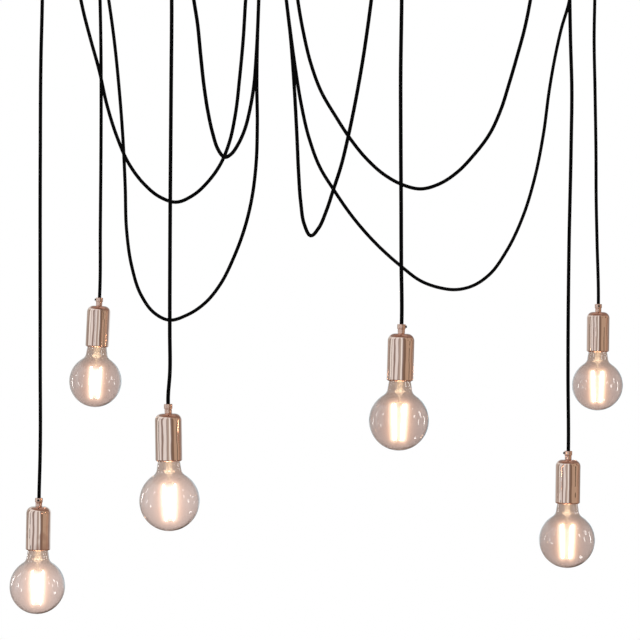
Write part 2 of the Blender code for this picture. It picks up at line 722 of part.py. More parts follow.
def socket_mesh():
    """The socket: a well for the nipple above, the bulb's threaded hole below."""
    top = CUP_TOP - CUP_WALL - GAP
    bottom = RIM + SOCKET_RECESS
    skirt_top = bottom + SOCKET_SKIRT_HEIGHT
    waist_top = skirt_top + SOCKET_WAIST_HEIGHT
    boss_end = top - SOCKET_BOSS_HEIGHT
    well = bore_radius(NIPPLE_DIAMETER / 2, GAP, SOCKET_SIDES)
    thread = bore_radius(CAP_CREST_DIAMETER / 2, THREAD_CLEARANCE, SOCKET_SIDES)
    contact_end = CAP_TOP + GAP
    floor = contact_end + CONTACT_HEIGHT
    contact = CONTACT_DIAMETER / 2
    profile = [
        (0.0, top - SOCKET_WELL_DEPTH), (well, top - SOCKET_WELL_DEPTH), (well, top),
        (SOCKET_BOSS_DIAMETER / 2, top), (SOCKET_BOSS_DIAMETER / 2, boss_end),
        (SOCKET_WAIST_DIAMETER / 2, waist_top), (SOCKET_WAIST_DIAMETER / 2, skirt_top),
        (SOCKET_DIAMETER / 2, skirt_top), (SOCKET_DIAMETER / 2, bottom), (thread, bottom),
        (thread, floor), (contact, floor), (contact, contact_end), (0.0, contact_end),
    ]
    return turned("socket", profile, SOCKET_SIDES)


def glass_mesh():
    """The thin globe, its neck, and the tenon that sits in the cap."""
    radius = GLOBE_DIAMETER / 2
    foot = NECK_FOOT_DIAMETER / 2
    rise = GLOBE_CENTRE_BELOW_RIM - NECK_LENGTH
    fillet = (foot ** 2 + rise ** 2 - radius ** 2) / (2 * (radius - foot))
    fillet_centre = foot + fillet, GLOBE_CENTRE + rise
    meeting = math.degrees(math.atan2(rise, foot + fillet))
    wall = GLASS_THICKNESS
    tenon_top = CAP_BASE + TENON_LENGTH
    outer = [
        (TENON_DIAMETER / 2, tenon_top), (TENON_DIAMETER / 2, CAP_BASE - GAP),
        (NECK_DIAMETER / 2, RIM),
    ]
    outer += arc(*fillet_centre, fillet, 180.0, 180.0 + meeting, FILLET_STEPS)
    outer += arc(0.0, GLOBE_CENTRE, radius, meeting, -90.0, GLOBE_STEPS)[1:-1]
    outer.append((0.0, GLOBE_CENTRE - radius))
    inner = [
        (TENON_DIAMETER / 2 - wall, tenon_top), (TENON_DIAMETER / 2 - wall, CAP_BASE - GAP - wall),
        (NECK_DIAMETER / 2 - wall, RIM),
    ]
    inner += arc(*fillet_centre, fillet + wall, 180.0, 180.0 + meeting, FILLET_STEPS)
    inner += arc(0.0, GLOBE_CENTRE, radius - wall, meeting, -90.0, GLOBE_STEPS)[1:-1]
    inner.append((0.0, GLOBE_CENTRE - radius + wall))
    return turned("bulb_glass", inner[::-1] + outer, GLASS_SIDES)


def cap_mesh():
    """The hollow screw cap: skirt, thread, insulator and tip."""
    mouth = bore_radius(TENON_DIAMETER / 2, GAP, CAP_SIDES)
    crest = CAP_CREST_DIAMETER / 2
    root = CAP_ROOT_DIAMETER / 2
    thread_start = CAP_BASE + CAP_SKIRT_HEIGHT
    thread_end = thread_start + CAP_TURNS * CAP_PITCH
    insulator = CAP_TOP - CAP_INSULATOR_HEIGHT
    hollow = root - CAP_WALL
    profile = [
        (mouth, CAP_BASE), (CAP_SKIRT_DIAMETER / 2, CAP_BASE), (CAP_SKIRT_DIAMETER / 2, thread_start),
    ]
    for turn in range(CAP_TURNS):
        profile.append((root, thread_start + (turn + 0.25) * CAP_PITCH))
        profile.append((crest, thread_start + (turn + 0.75) * CAP_PITCH))
    profile += [
        (root, thread_end), (CAP_SHOULDER_DIAMETER / 2, insulator),
        (CAP_INSULATOR_DIAMETER / 2, insulator), (CAP_TIP_DIAMETER / 2, CAP_TOP), (0.0, CAP_TOP),
    ]
    profile = [(0.0, thread_end), (hollow, thread_end - CAP_WALL), (hollow, thread_start),
               (mouth, thread_start)] + profile
    return turned("bulb_cap", profile, CAP_SIDES)


def filament_mesh():
    """The glass stem in the neck, and four filaments on wires round it."""
    flare = (TENON_DIAMETER / 2 - GLASS_THICKNESS) * math.cos(math.pi / GLASS_SIDES)
    flare -= STEM_CLEARANCE
    flare_top = CAP_BASE + TENON_LENGTH
    wire = WIRE_DIAMETER / 2
    bead = FOOT_BEAD_DIAMETER / 2
    top = RIM - FILAMENT_TOP_BELOW_RIM
    foot = top - FILAMENT_LENGTH
    profile = [
        (0.0, flare_top), (flare, flare_top), (flare, flare_top - STEM_FLARE_HEIGHT),
        (STEM_THROAT_DIAMETER / 2, RIM - STEM_THROAT_BELOW_RIM),
        (STEM_ROD_DIAMETER / 2, RIM - STEM_ROD_TOP_BELOW_RIM),
        (STEM_ROD_DIAMETER / 2, RIM - STEM_END_BELOW_RIM), (wire, top - WIRE_DIAMETER),
        (wire, foot + bead), (bead, foot), (wire, foot - bead), (0.0, foot - bead),
    ]
    steps = []
    for number in range(FILAMENT_COUNT):
        bearing = FILAMENT_TURN + 360.0 * number / FILAMENT_COUNT
        up = Vector((0.0, 0.0, 1.0))
        stem_end = RIM - STEM_END_BELOW_RIM + WIRE_DIAMETER
        path = [
            (up * stem_end, wire),
            (on_circle(FILAMENT_TOP_RADIUS, bearing) + up * top, FILAMENT_DIAMETER / 2),
            (on_circle(FILAMENT_FOOT_RADIUS, bearing) + up * foot, FILAMENT_DIAMETER / 2),
            (up * foot, wire),
        ]
        side = on_circle(1.0, bearing + 90.0)
        steps.append((swept("filament", path, side, FILAMENT_SIDES), "UNION"))
    return combined("bulb_filaments", turned("stem", profile, STEM_SIDES), steps)


def lamps(finishes):
    """Six lamps, each on an empty at its pivot and one at the top of its grip."""
    kinds = (
        ("cord_grip", grip_mesh(), "copper", True),
        ("holder_cup", cup_mesh(), "copper", False),
        ("socket", socket_mesh(), "ceramic", False),
        ("bulb_glass", glass_mesh(), "glass", False),
        ("bulb_cap", cap_mesh(), "nickel", False),
        ("bulb_filaments", filament_mesh(), "filament", False),
    )
    for lamp in LAMP_NUMBERS:
        swing = empty(f"swing_{lamp}", None, pivot(lamp), 0.0)
        hanging = Vector((LEANS[lamp - 1], 0.0, -DROPS[lamp - 1]))
        body = empty(f"lamp_{lamp}", swing, hanging, TILTS[lamp - 1])
        for kind, mesh, finish_name, turns in kinds:
            turn = GRIP_TURNS[lamp - 1] if turns else 0.0
            place(f"{kind}_{lamp}", mesh, finishes[finish_name], body, turn=turn)
        drop_cord(lamp, finishes["cord"], swing)


def main():
    clear_scene()
    finishes = {
        "copper": finish("polished copper", (0.93, 0.65, 0.55), 1.0, 0.18),
        "steel": finish("bright steel", (0.62, 0.62, 0.62), 1.0, 0.35),
        "cord": finish("black textile", (0.012, 0.012, 0.014), 0.0, 0.8),
        "ceramic": finish("white ceramic", (0.80, 0.79, 0.76), 0.0, 0.4),
        "nickel": finish("nickelled brass", (0.70, 0.69, 0.66), 1.0, 0.3),
        "glass": finish("clear glass", (0.90, 0.84, 0.82), 0.0, 0.05),
        "filament": finish("filament yellow", (1.0, 0.72, 0.30), 0.0, 0.5),
        "nylon": finish("white nylon", (0.75, 0.75, 0.73), 0.0, 0.55),
    }
    rose_cover(finishes["copper"])
    rose_bracket(finishes["steel"])
    rose_nut(finishes["copper"])
    terminal_block(finishes["nylon"])
    ceiling_screws(finishes["steel"])
    ceiling_hooks(finishes["steel"])
    for lamp in LAMP_NUMBERS:
        swag_cord(lamp, finishes["cord"])
    lamps(finishes)


main()
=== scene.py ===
"""The looks of the spider pendant light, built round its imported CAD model.

Metres, +Z up, in the CAD frame. The origin is the middle of the ceiling rose's ceiling face, X
runs to the right of the room view and Y away from the viewer. A lamp's own frame has its origin
at the top of its cord grip and Z up its axis.
"""
import math

import bmesh
import bpy
from mathutils import Matrix, Vector
from mathutils.geometry import interpolate_bezier


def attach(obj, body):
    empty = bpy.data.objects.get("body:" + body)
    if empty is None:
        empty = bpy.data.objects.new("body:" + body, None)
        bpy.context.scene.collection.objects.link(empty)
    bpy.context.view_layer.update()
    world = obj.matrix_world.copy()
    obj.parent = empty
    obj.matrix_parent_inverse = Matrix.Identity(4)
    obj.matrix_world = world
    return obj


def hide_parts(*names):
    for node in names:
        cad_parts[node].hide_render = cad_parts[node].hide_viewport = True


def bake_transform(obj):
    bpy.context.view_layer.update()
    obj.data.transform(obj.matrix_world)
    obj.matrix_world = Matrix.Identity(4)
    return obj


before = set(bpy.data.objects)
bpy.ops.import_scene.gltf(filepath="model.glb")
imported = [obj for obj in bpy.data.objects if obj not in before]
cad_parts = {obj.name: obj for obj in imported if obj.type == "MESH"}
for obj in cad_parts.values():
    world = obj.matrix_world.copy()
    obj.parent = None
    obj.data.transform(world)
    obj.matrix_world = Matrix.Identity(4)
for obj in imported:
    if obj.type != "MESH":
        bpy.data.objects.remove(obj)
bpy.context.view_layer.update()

SCENE = bpy.context.scene
UP = Vector((0.0, 0.0, 1.0))

# The CAD model's places and sizes, with a value for each lamp where they differ
LAMPS = range(6)
REACHES = (0.3937, 0.3840, 0.3270, 0.3473, 0.5123, 0.6833)
BEARINGS = (178.0, 146.3, 242.5, 307.9, 358.0, 28.0)
DROPS = (0.9833, 0.6353, 0.8083, 0.6827, 0.9000, 0.6461)
HEADINGS = (177.8, 100.4, 242.8, 308.8, 357.8, 26.4)
LEANS = (-0.0069, 0.0016, -0.0032, 0.0008, -0.0020, 0.0052)
TILTS = (1.1, 2.8, -0.8, 1.6, 0.9, 0.7)
GRIP_TURNS = (-90.0, 180.0, 90.0, 0.0, 180.0, -90.0)
OUTLET_CIRCLE = 0.035
OUTLET_BEARINGS = (180.0, 120.0, 240.0, 300.0, 0.0, 60.0)
ROSE_HEIGHT = 0.028
OUTLET_LENGTH = 0.012
CORD_RADIUS = 0.0031
CORD_BORE = 0.0036
CORD_STEP = 0.005
CORD_INTO_ROSE = 0.006
CORD_ABOVE_GRIP = 0.010
CORD_INTO_GRIP = 0.016
PIVOT_HEIGHT = -0.064
ARCH_RADIUS = 0.025
ARCH_TOP = -0.0346
ARCH_HEIGHT = 0.026
ARCH_SHARES = (
    (-1.0, 1.0), (-0.87, 0.5), (-0.5, 0.13), (0.0, 0.0), (0.5, 0.13), (0.87, 0.5), (1.0, 1.0),
)
SWAG_ROUTES = (
    (
        (0.000, -0.065), (0.001, -0.095), (0.004, -0.140), (0.008, -0.190), (0.012, -0.255),
        (0.018, -0.320), (0.026, -0.388), (0.036, -0.434), (0.051, -0.471), (0.073, -0.502),
        (0.100, -0.526), (0.128, -0.537), (0.156, -0.528), (0.183, -0.506), (0.210, -0.470),
        (0.230, -0.425), (0.248, -0.368), (0.261, -0.310), (0.276, -0.256), (0.289, -0.206),
        (0.299, -0.155), (0.306, -0.105),
    ),
    (
        (0.000, -0.065), (0.001, -0.110), (0.004, -0.180), (0.007, -0.260), (0.008, -0.330),
        (0.007, -0.400), (0.010, -0.475), (0.017, -0.525), (0.030, -0.575), (0.053, -0.631),
        (0.079, -0.677), (0.107, -0.708), (0.145, -0.731), (0.183, -0.740), (0.212, -0.727),
        (0.238, -0.696), (0.258, -0.642), (0.268, -0.580), (0.271, -0.500), (0.276, -0.410),
        (0.284, -0.320), (0.294, -0.235), (0.305, -0.165), (0.315, -0.110),
    ),
    (
        (0.000, -0.065), (0.001, -0.110), (0.003, -0.170), (0.007, -0.235), (0.013, -0.292),
        (0.021, -0.342), (0.034, -0.382), (0.053, -0.420), (0.075, -0.446), (0.100, -0.465),
        (0.122, -0.471), (0.142, -0.460), (0.160, -0.434), (0.174, -0.403), (0.187, -0.362),
        (0.198, -0.312), (0.208, -0.262), (0.221, -0.220), (0.231, -0.165), (0.238, -0.108),
    ),
    (
        (0.000, -0.065), (0.002, -0.100), (0.008, -0.150), (0.018, -0.205), (0.028, -0.260),
        (0.035, -0.315), (0.041, -0.375), (0.046, -0.435), (0.050, -0.490), (0.056, -0.542),
        (0.066, -0.580), (0.083, -0.599), (0.103, -0.588), (0.124, -0.560), (0.143, -0.525),
        (0.163, -0.487), (0.180, -0.444), (0.194, -0.403), (0.208, -0.357), (0.220, -0.313),
        (0.231, -0.266), (0.241, -0.218), (0.250, -0.165), (0.258, -0.110),
    ),
    (
        (0.000, -0.065), (0.002, -0.100), (0.007, -0.150), (0.013, -0.198), (0.022, -0.248),
        (0.034, -0.298), (0.052, -0.347), (0.077, -0.390), (0.101, -0.427), (0.130, -0.463),
        (0.160, -0.490), (0.190, -0.507), (0.223, -0.515), (0.256, -0.506), (0.285, -0.487),
        (0.314, -0.457), (0.341, -0.421), (0.360, -0.380), (0.374, -0.336), (0.388, -0.288),
        (0.401, -0.240), (0.411, -0.190), (0.418, -0.145), (0.424, -0.100),
    ),
    (
        (0.000, -0.065), (0.002, -0.110), (0.009, -0.175), (0.018, -0.240), (0.028, -0.305),
        (0.038, -0.360), (0.054, -0.422), (0.075, -0.472), (0.103, -0.512), (0.138, -0.556),
        (0.185, -0.603), (0.236, -0.643), (0.278, -0.670), (0.318, -0.682), (0.348, -0.685),
        (0.385, -0.678), (0.421, -0.657), (0.458, -0.613), (0.495, -0.545), (0.518, -0.480),
        (0.538, -0.395), (0.551, -0.312), (0.563, -0.253), (0.578, -0.195), (0.594, -0.148),
        (0.602, -0.104),
    ),
)
DROP_BOW = 0.005
DROP_SHARES = (
    ((0.06, -0.08), (0.13, -0.26), (0.23, -0.72), (0.40, -0.94), (0.75, -0.98), (0.93, -1.02)),
    ((0.07, 0.24), (0.15, 0.54), (0.30, 0.86), (0.45, 0.92), (0.60, 0.84), (0.80, 0.62)),
    ((0.08, 0.24), (0.21, 0.46), (0.40, 0.26), (0.64, -0.02), (0.86, -0.14), (0.94, -0.12)),
    ((0.10, 0.16), (0.24, 0.20), (0.42, -0.12), (0.58, -0.08), (0.72, 0.02), (0.86, 0.08)),
    ((0.14, 0.10), (0.22, 0.36), (0.31, 0.80), (0.42, 0.56), (0.62, -0.18), (0.86, -0.50)),
    ((0.11, -0.28), (0.22, -0.54), (0.38, -0.20), (0.55, 0.14), (0.70, 0.24), (0.82, 0.56)),
)

# Places and sizes in a lamp's own frame
CUP_TOP = -0.0148
RIM = -0.0900
CAP_BASE = -0.0845
CAP_TOP = -0.0580
GLOBE_CENTRE = -0.1526
GLOBE_RADIUS = 0.0475
FILAMENT_TURN = 30.0
BULB_TURNS = (17.0, 17.0, 17.0, 0.0, 0.0, 0.0)
FILAMENT_TOP = RIM - 0.036
FILAMENT_FOOT = FILAMENT_TOP - 0.058
FILAMENT_TOP_REACH = 0.0125
FILAMENT_FOOT_REACH = 0.0085
FILAMENT_RADIUS = 0.00095
FILAMENT_BEARINGS = [FILAMENT_TURN + 90.0 * index for index in range(4)]
THREAD_PITCH = 0.0036

# Places inside the rose: screws and ways along Y, the clamps of a way along X
SCREW_PLACE = 0.038
BLOCK_WAYS = (0.016, 0.022, 0.028)
CLAMP_PLACES = (-0.0035, 0.0035)
BLOCK_FACE = -0.0133


def on_circle(radius, bearing):
    """The place at this distance from Z, at a bearing in degrees."""
    angle = math.radians(bearing)
    return Vector((radius * math.cos(angle), radius * math.sin(angle), 0.0))


def turn_about(axis, degrees):
    return Matrix.Rotation(math.radians(degrees), 4, axis)


def hook_place(lamp):
    return on_circle(REACHES[lamp], BEARINGS[lamp]) - on_circle(ARCH_RADIUS, HEADINGS[lamp])


def outlet_place(lamp):
    return on_circle(OUTLET_CIRCLE, OUTLET_BEARINGS[lamp])


def lamp_frame(lamp):
    """The matrix from a lamp's own frame to the world."""
    top = on_circle(REACHES[lamp], BEARINGS[lamp]) + UP * (PIVOT_HEIGHT - DROPS[lamp])
    top.x += LEANS[lamp]
    return Matrix.Translation(top) @ turn_about("Y", TILTS[lamp])


def new_object(name, data):
    obj = bpy.data.objects.new(name, data)
    SCENE.collection.objects.link(obj)
    return obj


# Camera

camera_data = bpy.data.cameras.new("camera")
camera_data.sensor_width = 36.0
camera_data.lens = 112.5
camera = new_object("camera", camera_data)
camera.location = (0.085, -3.441, -0.740)
camera.rotation_euler = (math.radians(90.0), 0.0, 0.0)
SCENE.camera = camera


# Node helpers

class Shading:
    """The node tree of a material, or of a world, with short ways to add nodes and link them."""

    def __init__(self, name, kind="Material"):
        owners = bpy.data.worlds if kind == "World" else bpy.data.materials
        self.owner = owners.new(name)
        self.owner.use_nodes = True
        self.tree = self.owner.node_tree
        self.tree.nodes.clear()
        self.output = self.node("Output" + kind)

    def node(self, kind, *first, **named):
        """A new node. first are its first inputs, named the others by name, with _ for a space."""
        made = self.tree.nodes.new("ShaderNode" + kind)
        for socket, value in zip(made.inputs, first):
            self.feed(socket, value)
        for name, value in named.items():
            self.feed(made.inputs[name.replace("_", " ")], value)
        return made

    def feed(self, socket, value):
        """Links a node or a socket to this socket, or sets its number, place or colour."""
        if isinstance(value, bpy.types.Node):
            value = value.outputs[0]
        if isinstance(value, bpy.types.NodeSocket):
            self.tree.links.new(value, socket)
        elif socket.type == "RGBA":
            socket.default_value = (*value, 1.0)
        else:
            socket.default_value = value

    def math(self, operation, *values):
        made = self.node("Math", *values)
        made.operation = operation
        return made.outputs[0]

    def scaled(self, value, factor):
        return self.math("MULTIPLY", value, factor)

    def total(self, first, *others):
        for value in others:
            first = self.math("ADD", first, value)
        return first

    def mix_colour(self, factor, first, second):
        made = self.node("Mix", factor)
        made.data_type = "RGBA"
        self.feed(made.inputs[6], first)
        self.feed(made.inputs[7], second)
        return made.outputs[2]

    def noise(self, place, scale, detail=2.0, roughness=0.5):
        made = self.node("TexNoise", Vector=place, Scale=scale, Detail=detail, Roughness=roughness)
        return made.outputs[0]

    def ranged(self, value, low, high, to_low=0.0, to_high=1.0):
        return self.node("MapRange", value, low, high, to_low, to_high).outputs[0]

    def bump(self, height, strength, distance, **under):
        """A bumped normal. under may give the Normal that it lies on."""
        made = self.node("Bump", Height=height, Strength=strength, Distance=distance, **under)
        return made.outputs[0]

    def place(self, stretch=None):
        """Object coordinates, stretched by a scale for each axis where one is given."""
        place = self.node("TexCoord").outputs["Object"]
        if stretch:
            place = self.node("Mapping", Vector=place, Scale=stretch).outputs[0]
        return place

    def parts(self, vector):
        return self.node("SeparateXYZ", vector).outputs

    def height(self):
        return self.parts(self.place())[2]

    def surface(self, shader):
        self.feed(self.output.inputs["Surface"], shader)
        return self.owner


# Materials

def metal(name, light, dark, rough, wave, grain, lip=None):
    """A metal with slow waves in its polish, fine turned lines and slightly uneven colour.

    lip is the roughness that the polish loses itself in at a cup's rim.
    """
    look = Shading(name)
    place = look.place()
    lines = look.noise(look.place((60.0, 60.0, 1400.0)), 1.0, 3.0, 0.6)
    tone = look.ranged(look.noise(place, 22.0, 4.0), 0.3, 0.7)
    marks = look.ranged(look.noise(place, 160.0, 6.0, 0.7), 0.35, 0.75)
    spread = look.total(look.scaled(lines, 0.5), look.scaled(marks, 0.5))
    dullness = look.ranged(spread, 0.2, 0.8, *rough)
    if lip:
        dullness = look.ranged(look.height(), RIM + 0.0022, RIM + 0.0040, lip, dullness)
    waves = look.bump(look.noise(place, 38.0, 1.0), 1.0, wave)
    return look.surface(look.node(
        "BsdfPrincipled", Metallic=1.0, Roughness=dullness, Base_Color=look.mix_colour(tone, light, dark),
        Normal=look.bump(lines, grain, 0.00002, Normal=waves),
    ))


def braided(name):
    """Black round textile braid, woven over UVs of (metres along, turns round)."""
    look = Shading(name)
    strands_per_metre, strands_round = 260.0, 8.0
    uv = look.parts(look.node("UVMap"))
    along, around = look.scaled(uv[0], strands_per_metre), look.scaled(uv[1], strands_round)
    strands = []
    for operation in ("ADD", "SUBTRACT"):
        wave = look.math("SINE", look.scaled(look.math(operation, along, around), math.pi))
        strands.append(look.math("ABSOLUTE", wave))
    threads = look.noise(look.place(), 2600.0)
    under = look.scaled(look.math("MINIMUM", *strands), 0.35)
    weave = look.math("SUBTRACT", look.math("MAXIMUM", *strands), under)
    height = look.total(weave, look.scaled(threads, 0.25))
    wear = look.ranged(look.noise(look.place(), 14.0, 3.0), 0.35, 0.7)
    top = look.mix_colour(wear, (0.0026, 0.0026, 0.0028), (0.0046, 0.0044, 0.0044))
    # Painted shade: the braid is darker where its weave sinks between the strands, and its raised strands
    # vary with wear
    colour = look.mix_colour(look.ranged(height, 0.35, 1.05), (0.0010, 0.0010, 0.0011), top)
    return look.surface(look.node(
        "BsdfPrincipled", Base_Color=colour, Roughness=look.ranged(threads, 0.3, 0.7, 0.62, 0.85),
        Normal=look.bump(height, 0.5, 0.0003), Sheen_Weight=0.008, Sheen_Roughness=0.5,
        Specular_IOR_Level=0.02,
    ))


def ceramic(name, colour, shade, rough):
    """Glazed ceramic or moulded plastic with faint mottling and an uneven glaze."""
    look = Shading(name)
    place = look.place()
    mottle = look.ranged(look.noise(place, 90.0, 5.0, 0.6), 0.35, 0.7)
    return look.surface(look.node(
        "BsdfPrincipled", Base_Color=look.mix_colour(mottle, colour, shade),
        Roughness=look.ranged(mottle, 0.0, 1.0, *rough),
        Normal=look.bump(look.noise(place, 420.0, 3.0), 0.25, 0.00004),
    ))


def clear_glass(name, tint, shadow, ripple, neck=None, painted_glow=None):
    """Blown glass. Light from lamps and off dull surfaces passes it straight.

    neck is its deeper tint where it is drawn thick, up at the cap. The last argument is the strength of a
    painted glow, flecked with painted sparkles, round the stem's pinch, standing in for the filaments' light.
    """
    look = Shading(name)
    place = look.place()
    streaks = look.noise(look.place((1.0, 1.0, 0.4)), 26.0, 1.0)
    drawn = look.total(streaks, look.scaled(look.noise(place, 95.0, 1.0), 0.18))
    glass = look.node(
        "BsdfPrincipled", Roughness=0.0, IOR=1.47, Transmission_Weight=1.0,
        Normal=look.bump(drawn, 1.0, ripple),
    )
    deep = tuple(channel * 0.62 for channel in tint)
    if neck:
        tint = look.mix_colour(look.ranged(look.height(), RIM - 0.045, RIM - 0.014), tint, neck)
    # Painted glow, flecked with painted sparkles, on the stem round its pinch: emission for the filaments'
    # light caught there
    if painted_glow:
        off_pinch = look.math("ABSOLUTE", look.ranged(look.height(), RIM - 0.0260, RIM - 0.0090, -1.0, 1.0))
        painted_pinch_glow = look.total(look.scaled(look.math("SUBTRACT", 1.0, off_pinch), painted_glow), 0.22)
        painted_sparkle = look.ranged(look.noise(place, 620.0), 0.46, 0.58, 0.10, 1.0)
        look.feed(glass.inputs["Emission Color"], (1.0, 0.82, 0.56))
        look.feed(glass.inputs["Emission Strength"], look.math("MULTIPLY", painted_pinch_glow, painted_sparkle))
    edge = look.ranged(look.node("LayerWeight", Blend=0.5).outputs["Facing"], 0.55, 0.95)
    look.feed(glass.inputs["Base Color"], look.mix_colour(edge, tint, deep))
    path = look.node("LightPath").outputs
    passes = look.math("MAXIMUM", path["Is Shadow Ray"], path["Is Diffuse Ray"])
    return look.surface(look.node("MixShader", passes, glass, look.node("BsdfTransparent", Color=shadow)))


def lit_phosphor(name):
    """The yellow phosphor coat of a lit filament, brighter over each of its chips."""
    look = Shading(name)
    chips = look.math("ABSOLUTE", look.math("SINE", look.scaled(look.height(), 1500.0)))
    grain = look.noise(look.place(), 1800.0)
    level = look.total(look.scaled(chips, 14.0), look.scaled(grain, 8.0), 26.0)
    return look.surface(look.node(
        "BsdfPrincipled", Roughness=0.5,
        Base_Color=look.mix_colour(grain, (0.95, 0.66, 0.2), (1.0, 0.78, 0.36)),
        Emission_Color=look.mix_colour(chips, (1.0, 0.70, 0.40), (1.0, 0.86, 0.64)),
        Emission_Strength=level,
    ))


def painted_glow_gas(name, painted_glow, fill, painted_fog_glow):
    """The fill of a lit bulb, with a painted glow in it that stands in for the lit filaments' glare:
    a white one round each filament, a warm one round all four, a pale one with painted sparks round
    the stem and a warm one at the mouth.

    The three numbers after the name scale the glow round each filament, set the strength of the
    glow between them and that of a glow through the whole globe.
    """
    look = Shading(name)
    turned_place = look.node("Mapping", Vector=look.place(), Rotation=(0.0, 0.0, math.radians(FILAMENT_TURN)))
    turned_place.vector_type = "TEXTURE"
    x, y, height = look.parts(turned_place)
    across = (look.math("ABSOLUTE", x), look.math("ABSOLUTE", y))

    def past(low, high):
        """How far a height is above or below this stretch."""
        away = look.math("ABSOLUTE", look.math("SUBTRACT", height, (low + high) / 2))
        return look.math("MAXIMUM", look.math("SUBTRACT", away, (high - low) / 2), 0.0)

    def painted_glow_haze(parts, reach, strength):
        """Strength that fades with the distance whose parts are given."""
        square = look.total(*(look.math("MULTIPLY", part, part) for part in parts))
        return look.scaled(look.math("EXPONENT", look.scaled(square, -1.0 / reach ** 2)), strength)

    lean = look.ranged(height, FILAMENT_FOOT, FILAMENT_TOP, 0.0096, 0.0134)
    off_bar = (
        look.math("SUBTRACT", look.math("MAXIMUM", *across), lean), look.math("MINIMUM", *across),
        past(FILAMENT_FOOT + 0.003, FILAMENT_TOP - 0.003),
    )
    between = past(FILAMENT_FOOT + 0.010, FILAMENT_TOP - 0.011)
    all_round = past(FILAMENT_FOOT + 0.014, FILAMENT_TOP - 0.014)
    stem = past(RIM - 0.030, RIM - 0.010)
    mouth = past(RIM - 0.002, RIM + 0.004)
    painted_sparks = look.ranged(look.noise(turned_place, 330.0, 1.0), 0.50, 0.60, 0.10, 2.6)
    # Each a painted glow: emission in the gas that stands in for the lit filaments' glare
    colours = (
        (painted_glow_haze(off_bar, 0.0040, 130.0 * painted_glow), (1.0, 0.93, 0.80)),
        (painted_glow_haze(off_bar, 0.0074, 42.0 * painted_glow), (1.0, 0.68, 0.42)),
        (painted_glow_haze((*across, between), 0.0088, fill), (0.80, 0.93, 1.0)),
        (painted_glow_haze((*across, all_round), 0.0190, 19.0), (1.0, 0.42, 0.12)),
        (look.math("MULTIPLY", painted_sparks, painted_glow_haze((*across, stem), 0.0062, 30.0)), (1.0, 0.86, 0.68)),
        (painted_glow_haze((*across, mouth), 0.0060, 40.0), (1.0, 0.72, 0.40)),
        (painted_fog_glow, (1.0, 0.96, 0.94)),
    )
    light = None
    for strength, colour in colours:
        shine = look.node("Emission", Color=colour, Strength=strength)
        light = shine if light is None else look.node("AddShader", light, shine)
    look.feed(look.output.inputs["Volume"], light)
    look.owner.cycles.volume_step_rate = 0.4
    return look.surface(look.node("BsdfTransparent"))


COPPER_LIGHT = (0.93, 0.65, 0.55)
COPPER_DARK = (0.91, 0.615, 0.505)
polished_copper = metal(
    "polished copper", COPPER_LIGHT, COPPER_DARK, rough=(0.02, 0.06), wave=0.0010, grain=0.08, lip=0.14,
)
satin_copper = metal(
    "satin copper", (0.90, 0.58, 0.47), (0.86, 0.53, 0.42), rough=(0.20, 0.34), wave=0.0004, grain=0.35,
)
bright_steel = metal(
    "zinc plated steel", (0.62, 0.62, 0.63), (0.50, 0.50, 0.51), rough=(0.22, 0.40), wave=0.0006, grain=0.3,
)
nickel = metal(
    "nickel plate", (0.72, 0.69, 0.63), (0.62, 0.59, 0.53), rough=(0.14, 0.30), wave=0.0004, grain=0.25,
)
brass = metal(
    "brass", (0.83, 0.62, 0.30), (0.70, 0.50, 0.22), rough=(0.18, 0.34), wave=0.0004, grain=0.25,
)
black_braid = braided("black braid")
white_ceramic = ceramic("glazed ceramic", (0.82, 0.81, 0.78), (0.77, 0.75, 0.71), (0.18, 0.34))
white_nylon = ceramic("white nylon", (0.80, 0.80, 0.78), (0.74, 0.74, 0.71), (0.42, 0.60))
black_nylon = ceramic("black nylon", (0.012, 0.011, 0.011), (0.02, 0.018, 0.018), (0.35, 0.5))
black_glass = ceramic("black glass", (0.03, 0.03, 0.035), (0.02, 0.02, 0.02), (0.1, 0.2))
rosy_glass = clear_glass(
    "rosy glass", (0.690, 0.610, 0.580), (0.90, 0.86, 0.84), ripple=0.0011, neck=(0.595, 0.505, 0.455),
)
# The stem glass carries a painted glow round its pinch
stem_glass = clear_glass("stem glass", (0.93, 0.93, 0.92), (0.97, 0.97, 0.97), ripple=0.0004, painted_glow=0.50)
phosphor = lit_phosphor("lit phosphor")
# Painted glow in each bulb's gas, which differs between the first three lamps and the rest
gas = painted_glow_gas("painted glow gas", painted_glow=1.0, fill=16.0, painted_fog_glow=0.0)
bright_painted_glow_gas = painted_glow_gas("bright painted glow gas", painted_glow=0.42, fill=84.0, painted_fog_glow=0.0)
pale_painted_glow_gas = painted_glow_gas("pale painted glow gas", painted_glow=0.42, fill=84.0, painted_fog_glow=3.2)
PAINTED_GLOW_GASES = (pale_painted_glow_gas, bright_painted_glow_gas, pale_painted_glow_gas, gas, gas, gas)


# Mesh helpers

def arc(centre_radius, centre_height, radius, start, end, steps):
    points = []
    for step in range(steps + 1):
        angle = math.radians(start + (end - start) * step / steps)
        points.append((
            centre_radius + radius * math.cos(angle),
            centre_height + radius * math.sin(angle),
        ))
    return points


def rolled(radius, height, bends):
    """A line that turns from straight down to inward through arcs of (radius, end angle)."""
    points, angle = [(radius, height)], 0.0
    for size, end in bends:
        turn = math.radians(angle)
        centre = (points[-1][0] - size * math.cos(turn), points[-1][1] - size * math.sin(turn))
        points += arc(*centre, size, angle, end, 6)[1:]
        angle = end
    return points


def smoothed(mesh, angle):
    """The mesh, shaded smooth but for edges sharper than the angle."""
    mesh.shade_smooth()
    mesh.set_sharp_from_angle(angle=math.radians(angle))
    return mesh


def finished(bm, name):
    """The mesh of what was built, which is used up."""
    mesh = bpy.data.meshes.new(name)
    bm.to_mesh(mesh)
    bm.free()
    return mesh


